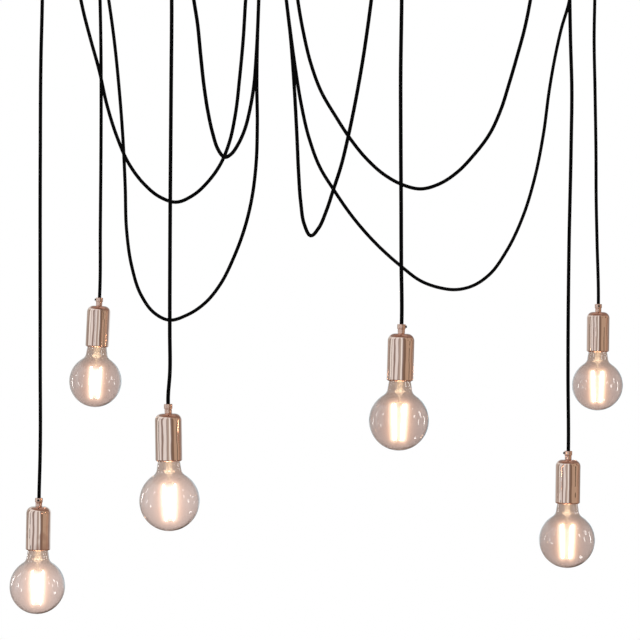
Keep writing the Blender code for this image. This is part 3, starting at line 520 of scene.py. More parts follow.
def mesh_from(bm, name, smooth_angle=35.0, weld=0.000002):
    """The finished mesh, welded within a distance, turned outward and smoothed."""
    if weld:
        bmesh.ops.remove_doubles(bm, verts=bm.verts, dist=weld)
    bmesh.ops.recalc_face_normals(bm, faces=bm.faces)
    return smoothed(finished(bm, name), smooth_angle)


def joined(name, meshes, smooth_angle):
    """One mesh of several, which are used up."""
    bm = bmesh.new()
    for mesh in meshes:
        bm.from_mesh(mesh)
        bpy.data.meshes.remove(mesh)
    return mesh_from(bm, name, smooth_angle, weld=None)


def turned(name, profile, sides=64, smooth_angle=35.0):
    """A mesh turned about Z. A profile with both ends on the axis stays open there."""
    bm = bmesh.new()
    verts = [bm.verts.new((radius, 0.0, height)) for radius, height in profile]
    ends = list(zip(verts, verts[1:]))
    if profile[0][0] or profile[-1][0]:
        ends.append((verts[-1], verts[0]))
    edges = [bm.edges.new(pair) for pair in ends]
    bmesh.ops.spin(
        bm, geom=verts + edges, cent=Vector(), axis=UP, dvec=Vector(),
        angle=math.tau, steps=sides, use_merge=True,
    )
    return mesh_from(bm, name, smooth_angle)


def add_ring(bm, radius, height, sides):
    """A ring of vertices about Z. radius is a length, or a rule that gives it for an angle."""
    ring = []
    for side in range(sides):
        angle = math.tau * side / sides
        reach = radius(angle) if callable(radius) else radius
        ring.append(bm.verts.new((reach * math.cos(angle), reach * math.sin(angle), height)))
    return ring


def add_skin(bm, rings, ends=True):
    """Adds faces from each ring to the next and one over each end. The former are returned."""
    faces, sides = [], len(rings[0])
    for ring, following in zip(rings, rings[1:]):
        for side in range(sides):
            beside = (side + 1) % sides
            faces.append(bm.faces.new((ring[side], ring[beside], following[beside], following[side])))
    if ends:
        bm.faces.new(rings[0])
        bm.faces.new(rings[-1])
    return faces


def crest(turns, angle):
    """A thread's rise, from 0 to 1, at this angle and this many turns up."""
    return 0.5 + 0.5 * math.cos(math.tau * turns - angle)


def threaded(name, low, high, root, top, pitch, start, end, sides=48):
    """A turned mesh with a helical thread between two profiles of (radius, height).

    low runs from the axis or a bore up to the thread, high from the thread on.
    """
    rows = max(4, round(abs(end - start) / pitch * 12))
    bm = bmesh.new()
    rings = [add_ring(bm, radius, height, sides) for radius, height in low]
    for row in range(rows + 1):
        height = start + (end - start) * row / rows
        depth = (top - root) * min(row / 3.0, (rows - row) / 3.0, 1.0)
        turns = (height - start) / pitch
        rings.append(add_ring(bm, lambda angle: root + depth * crest(turns, angle), height, sides))
    rings += [add_ring(bm, radius, height, sides) for radius, height in high]
    add_skin(bm, rings)
    return mesh_from(bm, name, 50.0)


def tube(name, path, radii, sides, uv_length=False):
    """A round tube along points in space, its rings turned as little as can be."""
    bm = bmesh.new()
    uv_layer = bm.loops.layers.uv.new("UVMap") if uv_length else None
    side = (path[1] - path[0]).normalized().orthogonal().normalized()
    rings, lengths = [], [0.0]
    for index, (point, radius) in enumerate(zip(path, radii)):
        before = path[max(index - 1, 0)]
        heading = (path[min(index + 1, len(path) - 1)] - before).normalized()
        side = (side - heading * side.dot(heading)).normalized()
        across = heading.cross(side)
        ring = []
        for corner in range(sides):
            angle = math.tau * corner / sides
            ring.append(bm.verts.new(point + (side * math.cos(angle) + across * math.sin(angle)) * radius))
        rings.append(ring)
        if index:
            lengths.append(lengths[-1] + (point - before).length)
    faces = add_skin(bm, rings)
    if uv_layer:
        for number, face in enumerate(faces):
            row, corner = divmod(number, sides)
            for loop, (further, beside) in zip(face.loops, ((0, 0), (0, 1), (1, 1), (1, 0))):
                loop[uv_layer].uv = (lengths[row + further], (corner + beside) / sides)
    return mesh_from(bm, name, 50.0, weld=None)


def rounded_block(name, low, high, edge):
    bm = bmesh.new()
    low, high = Vector(low), Vector(high)
    matrix = Matrix.Translation((low + high) / 2) @ Matrix.Diagonal((*(high - low), 1.0))
    bmesh.ops.create_cube(bm, size=1.0, matrix=matrix)
    bmesh.ops.bevel(bm, geom=bm.edges[:], offset=edge, segments=3, profile=0.5, affect="EDGES")
    return mesh_from(bm, name)


def rod(name, diameter, start, end, sides=32):
    bm = bmesh.new()
    start, end = Vector(start), Vector(end)
    turn = (end - start).to_track_quat("Z", "Y").to_matrix().to_4x4()
    bmesh.ops.create_cone(
        bm, cap_ends=True, segments=sides, radius1=diameter / 2, radius2=diameter / 2,
        depth=(end - start).length, matrix=Matrix.Translation((start + end) / 2) @ turn,
    )
    return mesh_from(bm, name)


def cut(name, mesh, tools):
    """The mesh with the tools' meshes taken out of it, one after the other."""
    body = new_object(name, mesh)
    cutters = [new_object(tool.name, tool) for tool in tools]
    for cutter in cutters:
        modifier = body.modifiers.new(cutter.name, "BOOLEAN")
        modifier.operation = "DIFFERENCE"
        modifier.solver = "EXACT"
        modifier.object = cutter
    graph = bpy.context.evaluated_depsgraph_get()
    result = bpy.data.meshes.new_from_object(body.evaluated_get(graph))
    result.name = name
    for obj in (body, *cutters):
        bpy.data.objects.remove(obj, do_unlink=True)
    return smoothed(result, 35.0)


def piece(name, mesh, material, body, matrix=None, replaces=()):
    """An object of this mesh at the matrix, which rides on a body and may stand for CAD nodes."""
    obj = new_object(name, mesh)
    if not mesh.materials:
        mesh.materials.append(material)
    if matrix is not None:
        obj.matrix_world = matrix
    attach(obj, body)
    if replaces:
        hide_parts(*replaces)
    return obj


# Cords

def smooth_line(points, steps):
    """Many points along one smooth curve through the given ones."""
    slopes = []
    for index, point in enumerate(points):
        to_here = point - points[max(index - 1, 0)]
        onward = points[min(index + 1, len(points) - 1)] - point
        slope = to_here.normalized() * onward.length + onward.normalized() * to_here.length
        slopes.append((slope if slope.length else to_here + onward).normalized())
    line = []
    for index in range(len(points) - 1):
        start, end = points[index], points[index + 1]
        handle = (end - start).length / 3
        span = interpolate_bezier(
            start, start + slopes[index] * handle, end - slopes[index + 1] * handle, end, steps + 1,
        )
        line += span[:-1]
    return line + [points[-1]]


def even_steps(line, spacing):
    """Points along the line at even steps, ends kept, and the line's length."""
    lengths = [0.0]
    for point, following in zip(line, line[1:]):
        lengths.append(lengths[-1] + (following - point).length)
    count = round(lengths[-1] / spacing)
    points, index = [], 0
    for step in range(count + 1):
        wanted = lengths[-1] * step / count
        while index < len(line) - 2 and lengths[index + 1] < wanted:
            index += 1
        share = (wanted - lengths[index]) / (lengths[index + 1] - lengths[index])
        points.append(line[index].lerp(line[index + 1], share))
    return points, lengths[-1]


def cord_points(lamp):
    """The cord's route from inside the rose, over its hook and down into its grip."""
    outlet, hook = outlet_place(lamp), hook_place(lamp)
    over_hook = on_circle(1.0, HEADINGS[lamp])
    along = (hook - over_hook * ARCH_RADIUS - outlet).normalized()
    points = [outlet - UP * (ROSE_HEIGHT - CORD_INTO_ROSE), outlet - UP * (ROSE_HEIGHT + OUTLET_LENGTH)]
    for reach, height in SWAG_ROUTES[lamp]:
        points.append(outlet + along * reach + UP * height)
    for out_share, down_share in ARCH_SHARES:
        height = ARCH_TOP - down_share * ARCH_HEIGHT
        points.append(hook + over_hook * (out_share * ARCH_RADIUS) + UP * height)
    pivot = on_circle(REACHES[lamp], BEARINGS[lamp]) + UP * PIVOT_HEIGHT
    for down_share, bow_share in DROP_SHARES[lamp]:
        points.append(pivot + Vector((bow_share * DROP_BOW, 0.0, -down_share * DROPS[lamp])))
    for height in (CORD_ABOVE_GRIP, -CORD_INTO_GRIP):
        points.append(lamp_frame(lamp) @ (UP * height))
    return points


for lamp in LAMPS:
    number = lamp + 1
    path, length = even_steps(smooth_line(cord_points(lamp), 16), CORD_STEP)
    mesh = tube(f"cord_{number}", path, [CORD_RADIUS] * len(path), 16, uv_length=True)
    mesh.materials.append(black_braid)
    cord = new_object(f"cord_{number}", mesh)
    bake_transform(cord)
    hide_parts(f"swag_cord_{number}", f"drop_cord_{number}")


# Lamps

def grip_mesh():
    """The turned cord grip: collar, neck, a small foot on the cup, and its nipple."""
    bore, collar, neck, nipple = CORD_BORE, 0.00675, 0.00575, 0.0049
    profile = [(bore, -0.0008)]
    profile += arc(bore + 0.0006, -0.0006, 0.0006, 180.0, 90.0, 4)
    profile += arc(collar - 0.0007, -0.0007, 0.0007, 90.0, 0.0, 5)
    profile += arc(collar - 0.0005, -0.0070, 0.0005, 0.0, -90.0, 4)
    profile += arc(neck + 0.0003, -0.0078, 0.0003, 90.0, 180.0, 3)
    profile += arc(neck + 0.0007, -0.0138, 0.0007, 180.0, 270.0, 4)
    profile += [(nipple, -0.0145), (nipple, -0.0250), (bore, -0.0250)]
    return turned("cord_grip", profile)


def lock_screw_mesh():
    """The cross screw's round head, with its slot and a short shank, along X."""
    profile = [(0.0, 0.0046), (0.0012, 0.0046), (0.0012, 0.0062), (0.0017, 0.0062)]
    profile += arc(0.00155, 0.0084, 0.00035, 0.0, 90.0, 4) + [(0.0, 0.0089)]
    slot = rounded_block("slot", (-0.00035, -0.003, 0.0082), (0.00035, 0.003, 0.0100), 0.00004)
    mesh = cut("lock_screw", turned("lock_screw", profile, 32), [slot])
    mesh.transform(Matrix.Translation(UP * -0.00375) @ turn_about("Y", 90.0))
    return mesh


def cup_mesh():
    """The spun cup: round shoulder, straight wall and a rim rolled in at a slant."""
    radius, shoulder, wall, hole = 0.02125, 0.0115, 0.0009, 0.0054
    bends = ((0.0015, -38.0), (0.0060, -62.0), (0.0010, -90.0))
    rise = RIM - rolled(radius, 0.0, bends)[-1][1]
    high = (radius - shoulder, CUP_TOP - shoulder)
    profile = [(hole, CUP_TOP - wall), (hole, CUP_TOP)]
    profile += arc(*high, shoulder, 90.0, 0.0, 20)
    profile += [(radius, CUP_TOP - shoulder - 0.016), (radius, CUP_TOP - shoulder - 0.034)]
    profile += rolled(radius, rise, bends)
    profile += rolled(radius - wall, rise, [(size - wall, end) for size, end in bends])[::-1]
    profile += arc(*high, shoulder - wall, 0.0, 90.0, 12)
    return turned("holder_cup", profile, 96)


def socket_mesh():
    """The ceramic body: skirt, waist and boss with softened edges."""
    top, bottom = CUP_TOP - 0.0012, RIM + 0.0035
    skirt_top, waist_top, boss_end = bottom + 0.0345, bottom + 0.0515, top - 0.0125
    boss, waist, skirt, bore = 0.009, 0.014, 0.018, 0.0149
    profile = [(0.0, top - 0.029), (0.0053, top - 0.029), (0.0053, top)]
    profile += arc(boss - 0.0008, top - 0.0008, 0.0008, 90.0, 0.0, 4) + [(boss, boss_end)]
    profile += arc(waist - 0.0015, waist_top - 0.0015, 0.0015, 90.0, 0.0, 5) + [(waist, skirt_top)]
    profile += arc(skirt - 0.0012, skirt_top - 0.0012, 0.0012, 90.0, 0.0, 5)
    profile += arc(skirt - 0.0010, bottom + 0.0010, 0.0010, 0.0, -90.0, 5)
    profile += [(bore, bottom), (bore, CAP_TOP + 0.0042), (0.0, CAP_TOP + 0.0042)]
    return turned("socket", profile)


def shell_mesh():
    """The socket's threaded metal shell."""
    bottom, top, wall, root, depth = RIM + 0.0052, CAP_TOP + 0.0036, 0.0004, 0.01395, 0.0006
    rows, sides = 84, 48
    bm = bmesh.new()

    def face_rings(inset):
        """The rings of one face of the wall, from the bottom up."""
        rings = []
        for row in range(rows + 1):
            height = bottom + (top - bottom) * row / rows
            turns, low = height / THREAD_PITCH, root - inset
            rings.append(add_ring(bm, lambda angle: low + depth * crest(turns, angle), height, sides))
        return rings

    rings = face_rings(0.0) + face_rings(wall)[::-1]
    add_skin(bm, rings + rings[:1], ends=False)
    return mesh_from(bm, "socket_shell", 60.0)


def contact_mesh():
    """The spring contact at the top of the socket."""
    end = CAP_TOP + 0.0003
    profile = [(0.0, end)] + arc(0.0022, end + 0.0008, 0.0008, -90.0, 0.0, 4)
    profile += [(0.0030, end + 0.0024), (0.0, end + 0.0024)]
    return turned("socket_contact", profile, 32)


def glass_profile(inset):
    """The bulb's outline from its neck down to the axis, moved in by the wall."""
    foot, rise, neck, shoulder = 0.0192, 0.0516, 0.0116, 0.0026
    fillet = (foot ** 2 + rise ** 2 - GLOBE_RADIUS ** 2) / (2 * (GLOBE_RADIUS - foot))
    meeting = math.degrees(math.atan2(rise, foot + fillet))
    points = [(neck - inset, CAP_BASE + 0.0040), (neck - inset, CAP_BASE - 0.0003 - inset * 0.3)]
    points += arc(neck + 0.0031 - inset, RIM + 0.0005, shoulder, 90.0, 8.0, 6)
    points += arc(foot + fillet, GLOBE_CENTRE + rise, fillet + inset, 180.0, 180.0 + meeting, 10)
    points += arc(0.0, GLOBE_CENTRE, GLOBE_RADIUS - inset, meeting, -90.0, 56)[1:-1]
    return points + [(0.0, GLOBE_CENTRE - GLOBE_RADIUS + inset)]


def glass_mesh():
    return turned("bulb_glass", glass_profile(0.001)[::-1] + glass_profile(0.0), 96)


def gas_mesh():
    """The space inside the glass, below the stem's flare."""
    top = [(0.0, CAP_BASE + 0.0006), (0.0104, CAP_BASE + 0.0006)]
    return turned("bulb_gas", top + glass_profile(0.0011)[1:])


def cap_mesh():
    """The screw cap's shell: skirt, rolled thread and shoulder."""
    start, end = CAP_BASE + 0.0048, CAP_BASE + 0.0174
    root, top = 0.0122, 0.0131
    low = [
        (0.0100, CAP_BASE + 0.0180), (0.0113, CAP_BASE + 0.0050), (0.0119, CAP_BASE + 0.0004),
        (root, CAP_BASE), (0.0129, CAP_BASE), (top, CAP_BASE + 0.0003), (top, CAP_BASE + 0.0040),
    ]
    high = [(0.0121, end + 0.0012), (0.0110, CAP_TOP - 0.0062), (0.0075, CAP_TOP - 0.0034)]
    return threaded("bulb_cap", low, high, root, top, THREAD_PITCH, start, end)


def insulator_mesh():
    profile = [(0.0, CAP_TOP - 0.0045), (0.0078, CAP_TOP - 0.0036), (0.0078, CAP_TOP - 0.0030)]
    profile += arc(0.0052, CAP_TOP - 0.0024, 0.0012, 0.0, 90.0, 4) + [(0.0, CAP_TOP - 0.0012)]
    return turned("cap_insulator", profile, 48)


def tip_mesh():
    profile = [(0.0, CAP_TOP - 0.0020), (0.0045, CAP_TOP - 0.0016)]
    profile += arc(0.0038, CAP_TOP - 0.0008, 0.0008, 0.0, 90.0, 4) + [(0.0, CAP_TOP)]
    return turned("cap_tip", profile, 40)


def stem_mesh():
    """The glass stem: a hollow flare and tube, pinched flat, then a rod and its button."""
    wall, pinch, pinch_reach = 0.0008, RIM - 0.0175, 0.0065
    outer = [
        (0.0104, CAP_BASE + 0.0038), (0.0084, CAP_BASE + 0.0006), (0.0062, RIM + 0.0014),
        (0.0052, RIM - 0.0040), (0.0049, RIM - 0.0120), (0.0047, RIM - 0.0160), (0.0040, RIM - 0.0190),
        (0.0027, RIM - 0.0215), (0.0021, RIM - 0.0240), (0.0020, RIM - 0.0295), (0.0027, RIM - 0.0320),
        (0.0028, RIM - 0.0338), (0.0016, RIM - 0.0350), (0.0, RIM - 0.0353),
    ]
    inner = [(0.0, RIM - 0.0172), (0.0026, RIM - 0.0166)]
    inner += [(radius - wall, height) for radius, height in outer[4::-1]]
    mesh = turned("bulb_stem", inner + outer, 40, 60.0)
    for vert in mesh.vertices:
        press = max(0.0, 1.0 - abs(vert.co.z - pinch) / pinch_reach)
        press = press * press * (3.0 - 2.0 * press)
        vert.co.x *= 1.0 + 0.75 * press
        vert.co.y *= 1.0 - 0.60 * press
    return mesh


def filament_ends(bearing):
    top = on_circle(FILAMENT_TOP_REACH, bearing) + UP * FILAMENT_TOP
    return top, on_circle(FILAMENT_FOOT_REACH, bearing) + UP * FILAMENT_FOOT


def thin_wire(points, radius):
    path = smooth_line(points, 6)
    return tube("wire", path, [radius] * len(path), 8)


def wire_mesh():
    """The bright wires that hold the filaments, with the bead at their foot."""
    holder, lead, overlap = 0.00032, 0.00028, 0.0006
    wires = []
    for bearing in FILAMENT_BEARINGS:
        top, foot = filament_ends(bearing)
        wires.append(thin_wire([
            on_circle(0.0011, bearing) + UP * (RIM - 0.0300),
            on_circle(0.0018, bearing) + UP * (RIM - 0.0345),
            on_circle(0.0090, bearing) + UP * (FILAMENT_TOP + 0.0018),
            top - UP * overlap,
        ], holder))
        wires.append(thin_wire([
            foot + UP * overlap,
            on_circle(0.0070, bearing) + UP * (FILAMENT_FOOT - 0.0008),
            UP * FILAMENT_FOOT,
        ], holder))
    for side in (-1.0, 1.0):
        wires.append(thin_wire([
            Vector((side * 0.0042, 0.0, CAP_BASE + 0.0020)), Vector((side * 0.0026, 0.0, RIM - 0.0030)),
            Vector((side * 0.0012, 0.0, RIM - 0.0140)), Vector((side * 0.0009, 0.0, RIM - 0.0310)),
        ], lead))
    bm = bmesh.new()
    foot_place = Matrix.Translation(UP * FILAMENT_FOOT)
    bmesh.ops.create_uvsphere(bm, u_segments=20, v_segments=12, radius=0.0013, matrix=foot_place)
    wires.append(mesh_from(bm, "bead"))
    return joined("filament_wires", wires, 50.0)


def filament_mesh(bearing):
    """One lit filament, a slim rod with round ends."""
    top, foot = filament_ends(bearing)
    path, radii = [], []
    for step in range(41):
        share = step / 40
        past_end = min(share, 1.0 - share) * (top - foot).length / FILAMENT_RADIUS
        path.append(top.lerp(foot, share))
        radii.append(FILAMENT_RADIUS * math.sqrt(max(0.04, 1.0 - (1.0 - min(past_end, 1.0)) ** 2)))
    return tube("filament", path, radii, 16)


# Name, mesh, material, body, slot, turns about the lamp's axis and the CAD node that it stands for.
# The gas and its painted glow differ from lamp to lamp, so each has a mesh of its own.
LAMP_PIECES = (
    ("grip", grip_mesh(), satin_copper, "pendant", "copper", GRIP_TURNS, "cord_grip"),
    ("lock_screw", lock_screw_mesh(), black_nylon, "pendant", "nylon", GRIP_TURNS, None),
    ("cup", cup_mesh(), polished_copper, "pendant", "copper", None, "holder_cup"),
    ("socket_body", socket_mesh(), white_ceramic, "pendant", "ceramic", None, "socket"),
    ("socket_shell", shell_mesh(), brass, "pendant", "nickel", None, None),
    ("socket_contact", contact_mesh(), brass, "pendant", "nickel", None, None),
    ("globe", glass_mesh(), rosy_glass, "bulb", "glass", BULB_TURNS, "bulb_glass"),
    ("gas", gas_mesh(), PAINTED_GLOW_GASES, "bulb", "glass", BULB_TURNS, None),
    ("cap", cap_mesh(), nickel, "bulb", "nickel", None, "bulb_cap"),
    ("cap_insulator", insulator_mesh(), black_glass, "bulb", "glass", None, None),
    ("cap_tip", tip_mesh(), nickel, "bulb", "nickel", None, None),
    ("stem", stem_mesh(), stem_glass, "bulb", "glass", BULB_TURNS, None),
    ("wires", wire_mesh(), nickel, "bulb", "nickel", BULB_TURNS, None),
)
filaments = [filament_mesh(bearing) for bearing in FILAMENT_BEARINGS]

for lamp in LAMPS:
    number, place = lamp + 1, lamp_frame(lamp)
    for name, mesh, material, body, slot, turns, node in LAMP_PIECES:
        matrix = place @ turn_about("Z", turns[lamp]) if turns else place
        stands_for = [f"{node}_{number}"] if node else ()
        if material is PAINTED_GLOW_GASES:
            mesh, material = mesh.copy(), PAINTED_GLOW_GASES[lamp]
        piece(f"{name}_{number}", mesh, material, f"{body}_{number}", matrix, stands_for)
    bulb, turned_in = f"bulb_{number}", place @ turn_about("Z", BULB_TURNS[lamp])
    for index, mesh in enumerate(filaments):
        stands_for = [f"bulb_filaments_{number}"] if index == 0 else ()
        piece(f"filament_{number}_{index + 1}", mesh, phosphor, bulb, turned_in, stands_for)


# Ceiling rose

def rose_cover_mesh():
    radius, edge, wall, hole = 0.060, 0.0035, 0.0012, 0.0043
    face = -ROSE_HEIGHT
    profile = [(hole, face + wall), (hole, face)]
    profile += arc(radius - edge, face + edge, edge, -90.0, 0.0, 12)
    profile += [(radius, 0.0), (radius - wall, 0.0)]
    profile += arc(radius - edge, face + edge, edge - wall, 0.0, -90.0, 8)
    holes = []
    for lamp in LAMPS:
        middle = outlet_place(lamp)
        holes.append(rod("hole", 0.0100, middle + UP * (face - 0.002), middle + UP * (face + 0.003)))
    return cut("rose_cover", turned("cover", profile, 120), holes)


def outlet_mesh():
    """A cord outlet: a turned bush with a flange each side of the cover."""
    face, bore, collar, outer = -ROSE_HEIGHT, CORD_BORE, 0.0048, 0.00675
    end = face - OUTLET_LENGTH
    profile = [(bore, face + 0.0032), (collar, face + 0.0032), (collar, face)]
    profile += [(outer + 0.0005, face - 0.0002)]
    profile += arc(outer, face - 0.0010, 0.0005, 0.0, -90.0, 3)
    profile += [(outer - 0.0002, face - 0.0022)]
    profile += arc(outer - 0.0012, end + 0.0010, 0.0010, 0.0, -90.0, 5)
    profile += arc(bore + 0.0008, end + 0.0008, 0.0008, -90.0, -180.0, 4)
    return turned("cord_outlet", profile, 40)


def nut_mesh():
    """The domed nut with a knurled rim."""
    seat, sides, bore, rim, dome, dome_height = -ROSE_HEIGHT - 0.0003, 72, 0.0043, 0.0090, 0.0086, 0.0070

    def knurled(angle):
        return rim - 0.00018 * (round(angle * sides / math.tau) % 2)

    levels = [
        (bore, seat - 0.0075), (bore, seat), (dome, seat), (knurled, seat - 0.0004), (knurled, seat - 0.0036),
    ]
    for across, down in arc(0.0, 0.0, 1.0, 0.0, -84.0, 10):
        levels.append((dome * across, seat - 0.0040 + dome_height * down))
    bm = bmesh.new()
    add_skin(bm, [add_ring(bm, radius, height, sides) for radius, height in levels])
    return mesh_from(bm, "rose_nut", 30.0)


def bracket_mesh():
    """The flat bar, with a slot near each end."""
    half_width, half_run, below, above = 0.0026, 0.0034, -0.004, 0.002
    tools = []
    for side in (-1.0, 1.0):
        ends = (side * SCREW_PLACE - half_run, side * SCREW_PLACE + half_run)
        for end in ends:
            tools.append(rod("end", 2 * half_width, (0.0, end, below), (0.0, end, above)))
        low, high = (-half_width, ends[0], below), (half_width, ends[1], above)
        tools.append(rounded_block("slot", low, high, 0.00001))
    bar = rounded_block("bar", (-0.008, -0.050, -0.002), (0.008, 0.050, 0.0), 0.0003)
    return cut("rose_bracket", bar, tools)


def stud_mesh():
    low = [(0.0006, -0.0350), (0.0030, -0.0350)]
    high = [(0.0036, -0.0021), (0.0006, -0.0021)]
    return threaded(
        "rose_stud", low, high, root=0.0033, top=0.0038, pitch=0.00125, start=-0.0344, end=-0.0026,
    )


def screw_mesh():
    """A pan head wood screw with a cross recess."""
    head_top, head_end = -0.0023, -0.0048
    low = [(0.0004, head_end), (0.0026, head_end), (0.0036, head_end + 0.0006), (0.0042, head_end + 0.0016)]
    low += [(0.00425, head_top), (0.0023, head_top)]
    high = [(0.0011, 0.0292), (0.0003, 0.0300)]
    mesh = threaded(
        "ceiling_screw", low, high, root=0.0016, top=0.00235, pitch=0.0020,
        start=head_top + 0.0010, end=0.0262, sides=32,
    )
    arm_low, arm_high = (-0.0004, -0.0022, head_end - 0.001), (0.0004, 0.0022, head_end + 0.0014)
    arms = []
    for turn in (0.0, 90.0):
        arm = rounded_block("arm", arm_low, arm_high, 0.00005)
        arm.transform(turn_about("Z", turn))
        arms.append(arm)
    return cut("ceiling_screw", mesh, arms)


def block_mesh():
    """The terminal strip's body, with a bore and two screw wells for each of its ways."""
    top, face, bore_height = -0.0023, BLOCK_FACE, -0.0078
    tools = []
    for way in BLOCK_WAYS:
        tools.append(rod("bore", 0.0034, (-0.008, way, bore_height), (0.008, way, bore_height)))
        for across in CLAMP_PLACES:
            tools.append(rod("well", 0.0036, (across, way, face - 0.001), (across, way, face + 0.0035)))
    for way, following in zip(BLOCK_WAYS, BLOCK_WAYS[1:]):
        edge = (way + following) / 2
        low, high = (-0.007, edge - 0.0004, face - 0.001), (0.007, edge + 0.0004, face + 0.0022)
        tools.append(rounded_block("groove", low, high, 0.00005))
    low, high = (-0.006, BLOCK_WAYS[0] - 0.004, face), (0.006, BLOCK_WAYS[-1] + 0.004, top)
    return cut("rose_terminal_block", rounded_block("body", low, high, 0.0008), tools)


def clamp_screw_mesh():
    head, seat = BLOCK_FACE + 0.0012, BLOCK_FACE + 0.0036
    screw = turned("clamp_screw", [
        (0.0, seat), (0.0015, seat), (0.0015, head + 0.0004), (0.0012, head), (0.0, head),
    ], 28)
    slot_low, slot_high = (-0.0002, -0.002, BLOCK_FACE + 0.0005), (0.0002, 0.002, BLOCK_FACE + 0.0018)
    return cut("clamp_screw", screw, [rounded_block("slot", slot_low, slot_high, 0.00002)])


def fixed(name, mesh, material, matrix=None, replaces=()):
    """A piece that stays on the ceiling."""
    return piece(name, mesh, material, "ceiling_set", matrix, replaces)


fixed("rose_cover_shell", rose_cover_mesh(), polished_copper, None, ["rose_cover"])
bush = outlet_mesh()
for lamp in LAMPS:
    place = Matrix.Translation(outlet_place(lamp))
    fixed(f"cord_outlet_{lamp + 1}", bush, satin_copper, place)
fixed("rose_dome_nut", nut_mesh(), satin_copper, None, ["rose_nut"])
fixed("rose_bar", bracket_mesh(), bright_steel, None, ["rose_bracket"])
fixed("rose_stud", stud_mesh(), bright_steel)
fixed("terminal_strip", block_mesh(), white_nylon, None, ["rose_terminal_block"])
clamp_screw = clamp_screw_mesh()
for number, way in enumerate(BLOCK_WAYS, start=1):
    for side, across in zip("ab", CLAMP_PLACES):
        place = Matrix.Translation((across, way, 0.0))
        fixed(f"clamp_screw_{number}_{side}", clamp_screw, brass, place)
wood_screw = screw_mesh()
for number, along in enumerate((-SCREW_PLACE, SCREW_PLACE), start=1):
    place = Matrix.Translation((0.0, along, 0.0))
    fixed(f"wood_screw_{number}", wood_screw, bright_steel, place, [f"ceiling_screw_{number}"])


# Ceiling hooks

def hook_mesh():
    """A screw hook: thread, flange, shank and a wire loop open at one side."""
    wire_radius = 0.002
    low = [(0.0004, 0.0300), (0.0012, 0.0286)]
    high = [(0.0018, 0.0006), (0.0018, -0.0004), (0.0006, -0.0004)]
    thread = threaded(
        "thread", low, high, root=0.0013, top=0.0018, pitch=0.0017, start=0.0270, end=0.0016, sides=32,
    )
    flange = turned("flange", [
        (0.0, -0.0002), (0.0070, 0.0), (0.0080, -0.0003), (0.0080, -0.0008),
        (0.0052, -0.0017), (0.0026, -0.0020), (0.0, -0.0020),
    ], 48)
    route = [(0.0, -0.0010), (0.0, -0.0040), (0.0, -0.0075), (-0.0006, -0.0115), (-0.0030, -0.0150)]
    route += arc(0.0, -0.028, 0.012, 118.0, 392.0, 44)[1:]
    points = [Vector((0.0, across, height)) for across, height in route]
    line, _ = even_steps(smooth_line(points, 6), 0.0012)
    radii = [wire_radius] * len(line)
    for index, share in enumerate((0.35, 0.7, 0.9, 0.98)):
        radii[-1 - index] = wire_radius * share
    return joined("ceiling_hook", (thread, flange, tube("wire", line, radii, 20)), 40.0)


screw_hook = hook_mesh()
for lamp in LAMPS:
    number = lamp + 1
    place = Matrix.Translation(hook_place(lamp)) @ turn_about("Z", HEADINGS[lamp])
    fixed(f"hook_{number}", screw_hook, bright_steel, place, [f"ceiling_hook_{number}"])


# Studio

STUDIO_RADIUS = 2.4
STUDIO_TOP = 2.6
FLOOR_HEIGHT = -1.9
UNDER_HEIGHT = -1.85

# Tones of the studio cards round the lamps, as polished copper shows them, from 0 to 255
WHITE_CARD = (250, 236, 224)
PALE_CARD = (225, 208, 200)
MIDDLE_CARD = (179, 157, 144)
GREY_CARD = (142, 118, 109)
BROWN_CARD = (120, 92, 75)
ROSY_CARD = (178, 143, 119)
RED_CARD = (174, 129, 106)
LID_PALE, LID_MIDDLE, LID_DARK = (172, 130, 112), (150, 106, 88), (131, 90, 74)
UNDER_PALE, UNDER_DARK = (124, 84, 62), (104, 67, 45)
REFLECTOR_STOPS = (
    (-180.0, PALE_CARD), (-150.0, MIDDLE_CARD), (-112.0, MIDDLE_CARD), (-102.0, BROWN_CARD),
    (-96.0, PALE_CARD), (-84.0, WHITE_CARD), (-79.0, GREY_CARD), (-74.0, PALE_CARD),
    (-60.0, PALE_CARD), (-53.0, GREY_CARD), (-43.0, GREY_CARD), (-37.0, PALE_CARD),
    (-19.0, PALE_CARD), (-13.0, GREY_CARD), (-6.0, MIDDLE_CARD), (3.0, MIDDLE_CARD),
    (7.0, WHITE_CARD), (13.0, PALE_CARD), (18.0, GREY_CARD), (30.0, BROWN_CARD),
    (38.0, BROWN_CARD), (45.0, ROSY_CARD), (84.0, ROSY_CARD), (94.0, RED_CARD),
    (112.0, ROSY_CARD), (119.0, GREY_CARD), (135.0, GREY_CARD), (155.0, PALE_CARD),
)
LID_STOPS = (
    (-180.0, LID_PALE), (-100.0, LID_MIDDLE), (-30.0, LID_DARK), (40.0, LID_DARK), (120.0, LID_PALE),
)
UNDER_STOPS = ((-180.0, UNDER_PALE), (-60.0, UNDER_DARK), (60.0, UNDER_DARK), (120.0, UNDER_PALE))
RING_SHADE = (0.24, 0.17, 0.14)

# Bright cards that only the globes show: bearing, rise in degrees, distance, width, height
GLINTS = (
    (-70.0, -16.0, 2.2, 0.20, 0.30), (-99.0, 16.0, 2.2, 0.12, 0.46), (-60.0, 20.0, 2.2, 0.15, 0.30),
    (-116.0, -3.0, 2.2, 0.14, 0.60), (-82.0, -6.0, 2.2, 0.16, 0.34), (56.0, 12.0, 2.2, 0.16, 0.34),
    (71.0, -4.0, 2.2, 0.20, 0.50), (86.0, 14.0, 2.2, 0.22, 0.60), (104.0, -2.0, 2.2, 0.16, 0.80),
    (64.0, 37.0, 2.2, 0.24, 0.34), (88.0, -44.0, 0.9, 0.26, 0.15),
)
GLINT_MIDDLE = Vector((0.1, 0.0, -0.86))
GLINT_STRENGTH = 11.0
LIGHT_AIM = Vector((0.1, 0.0, -0.8))


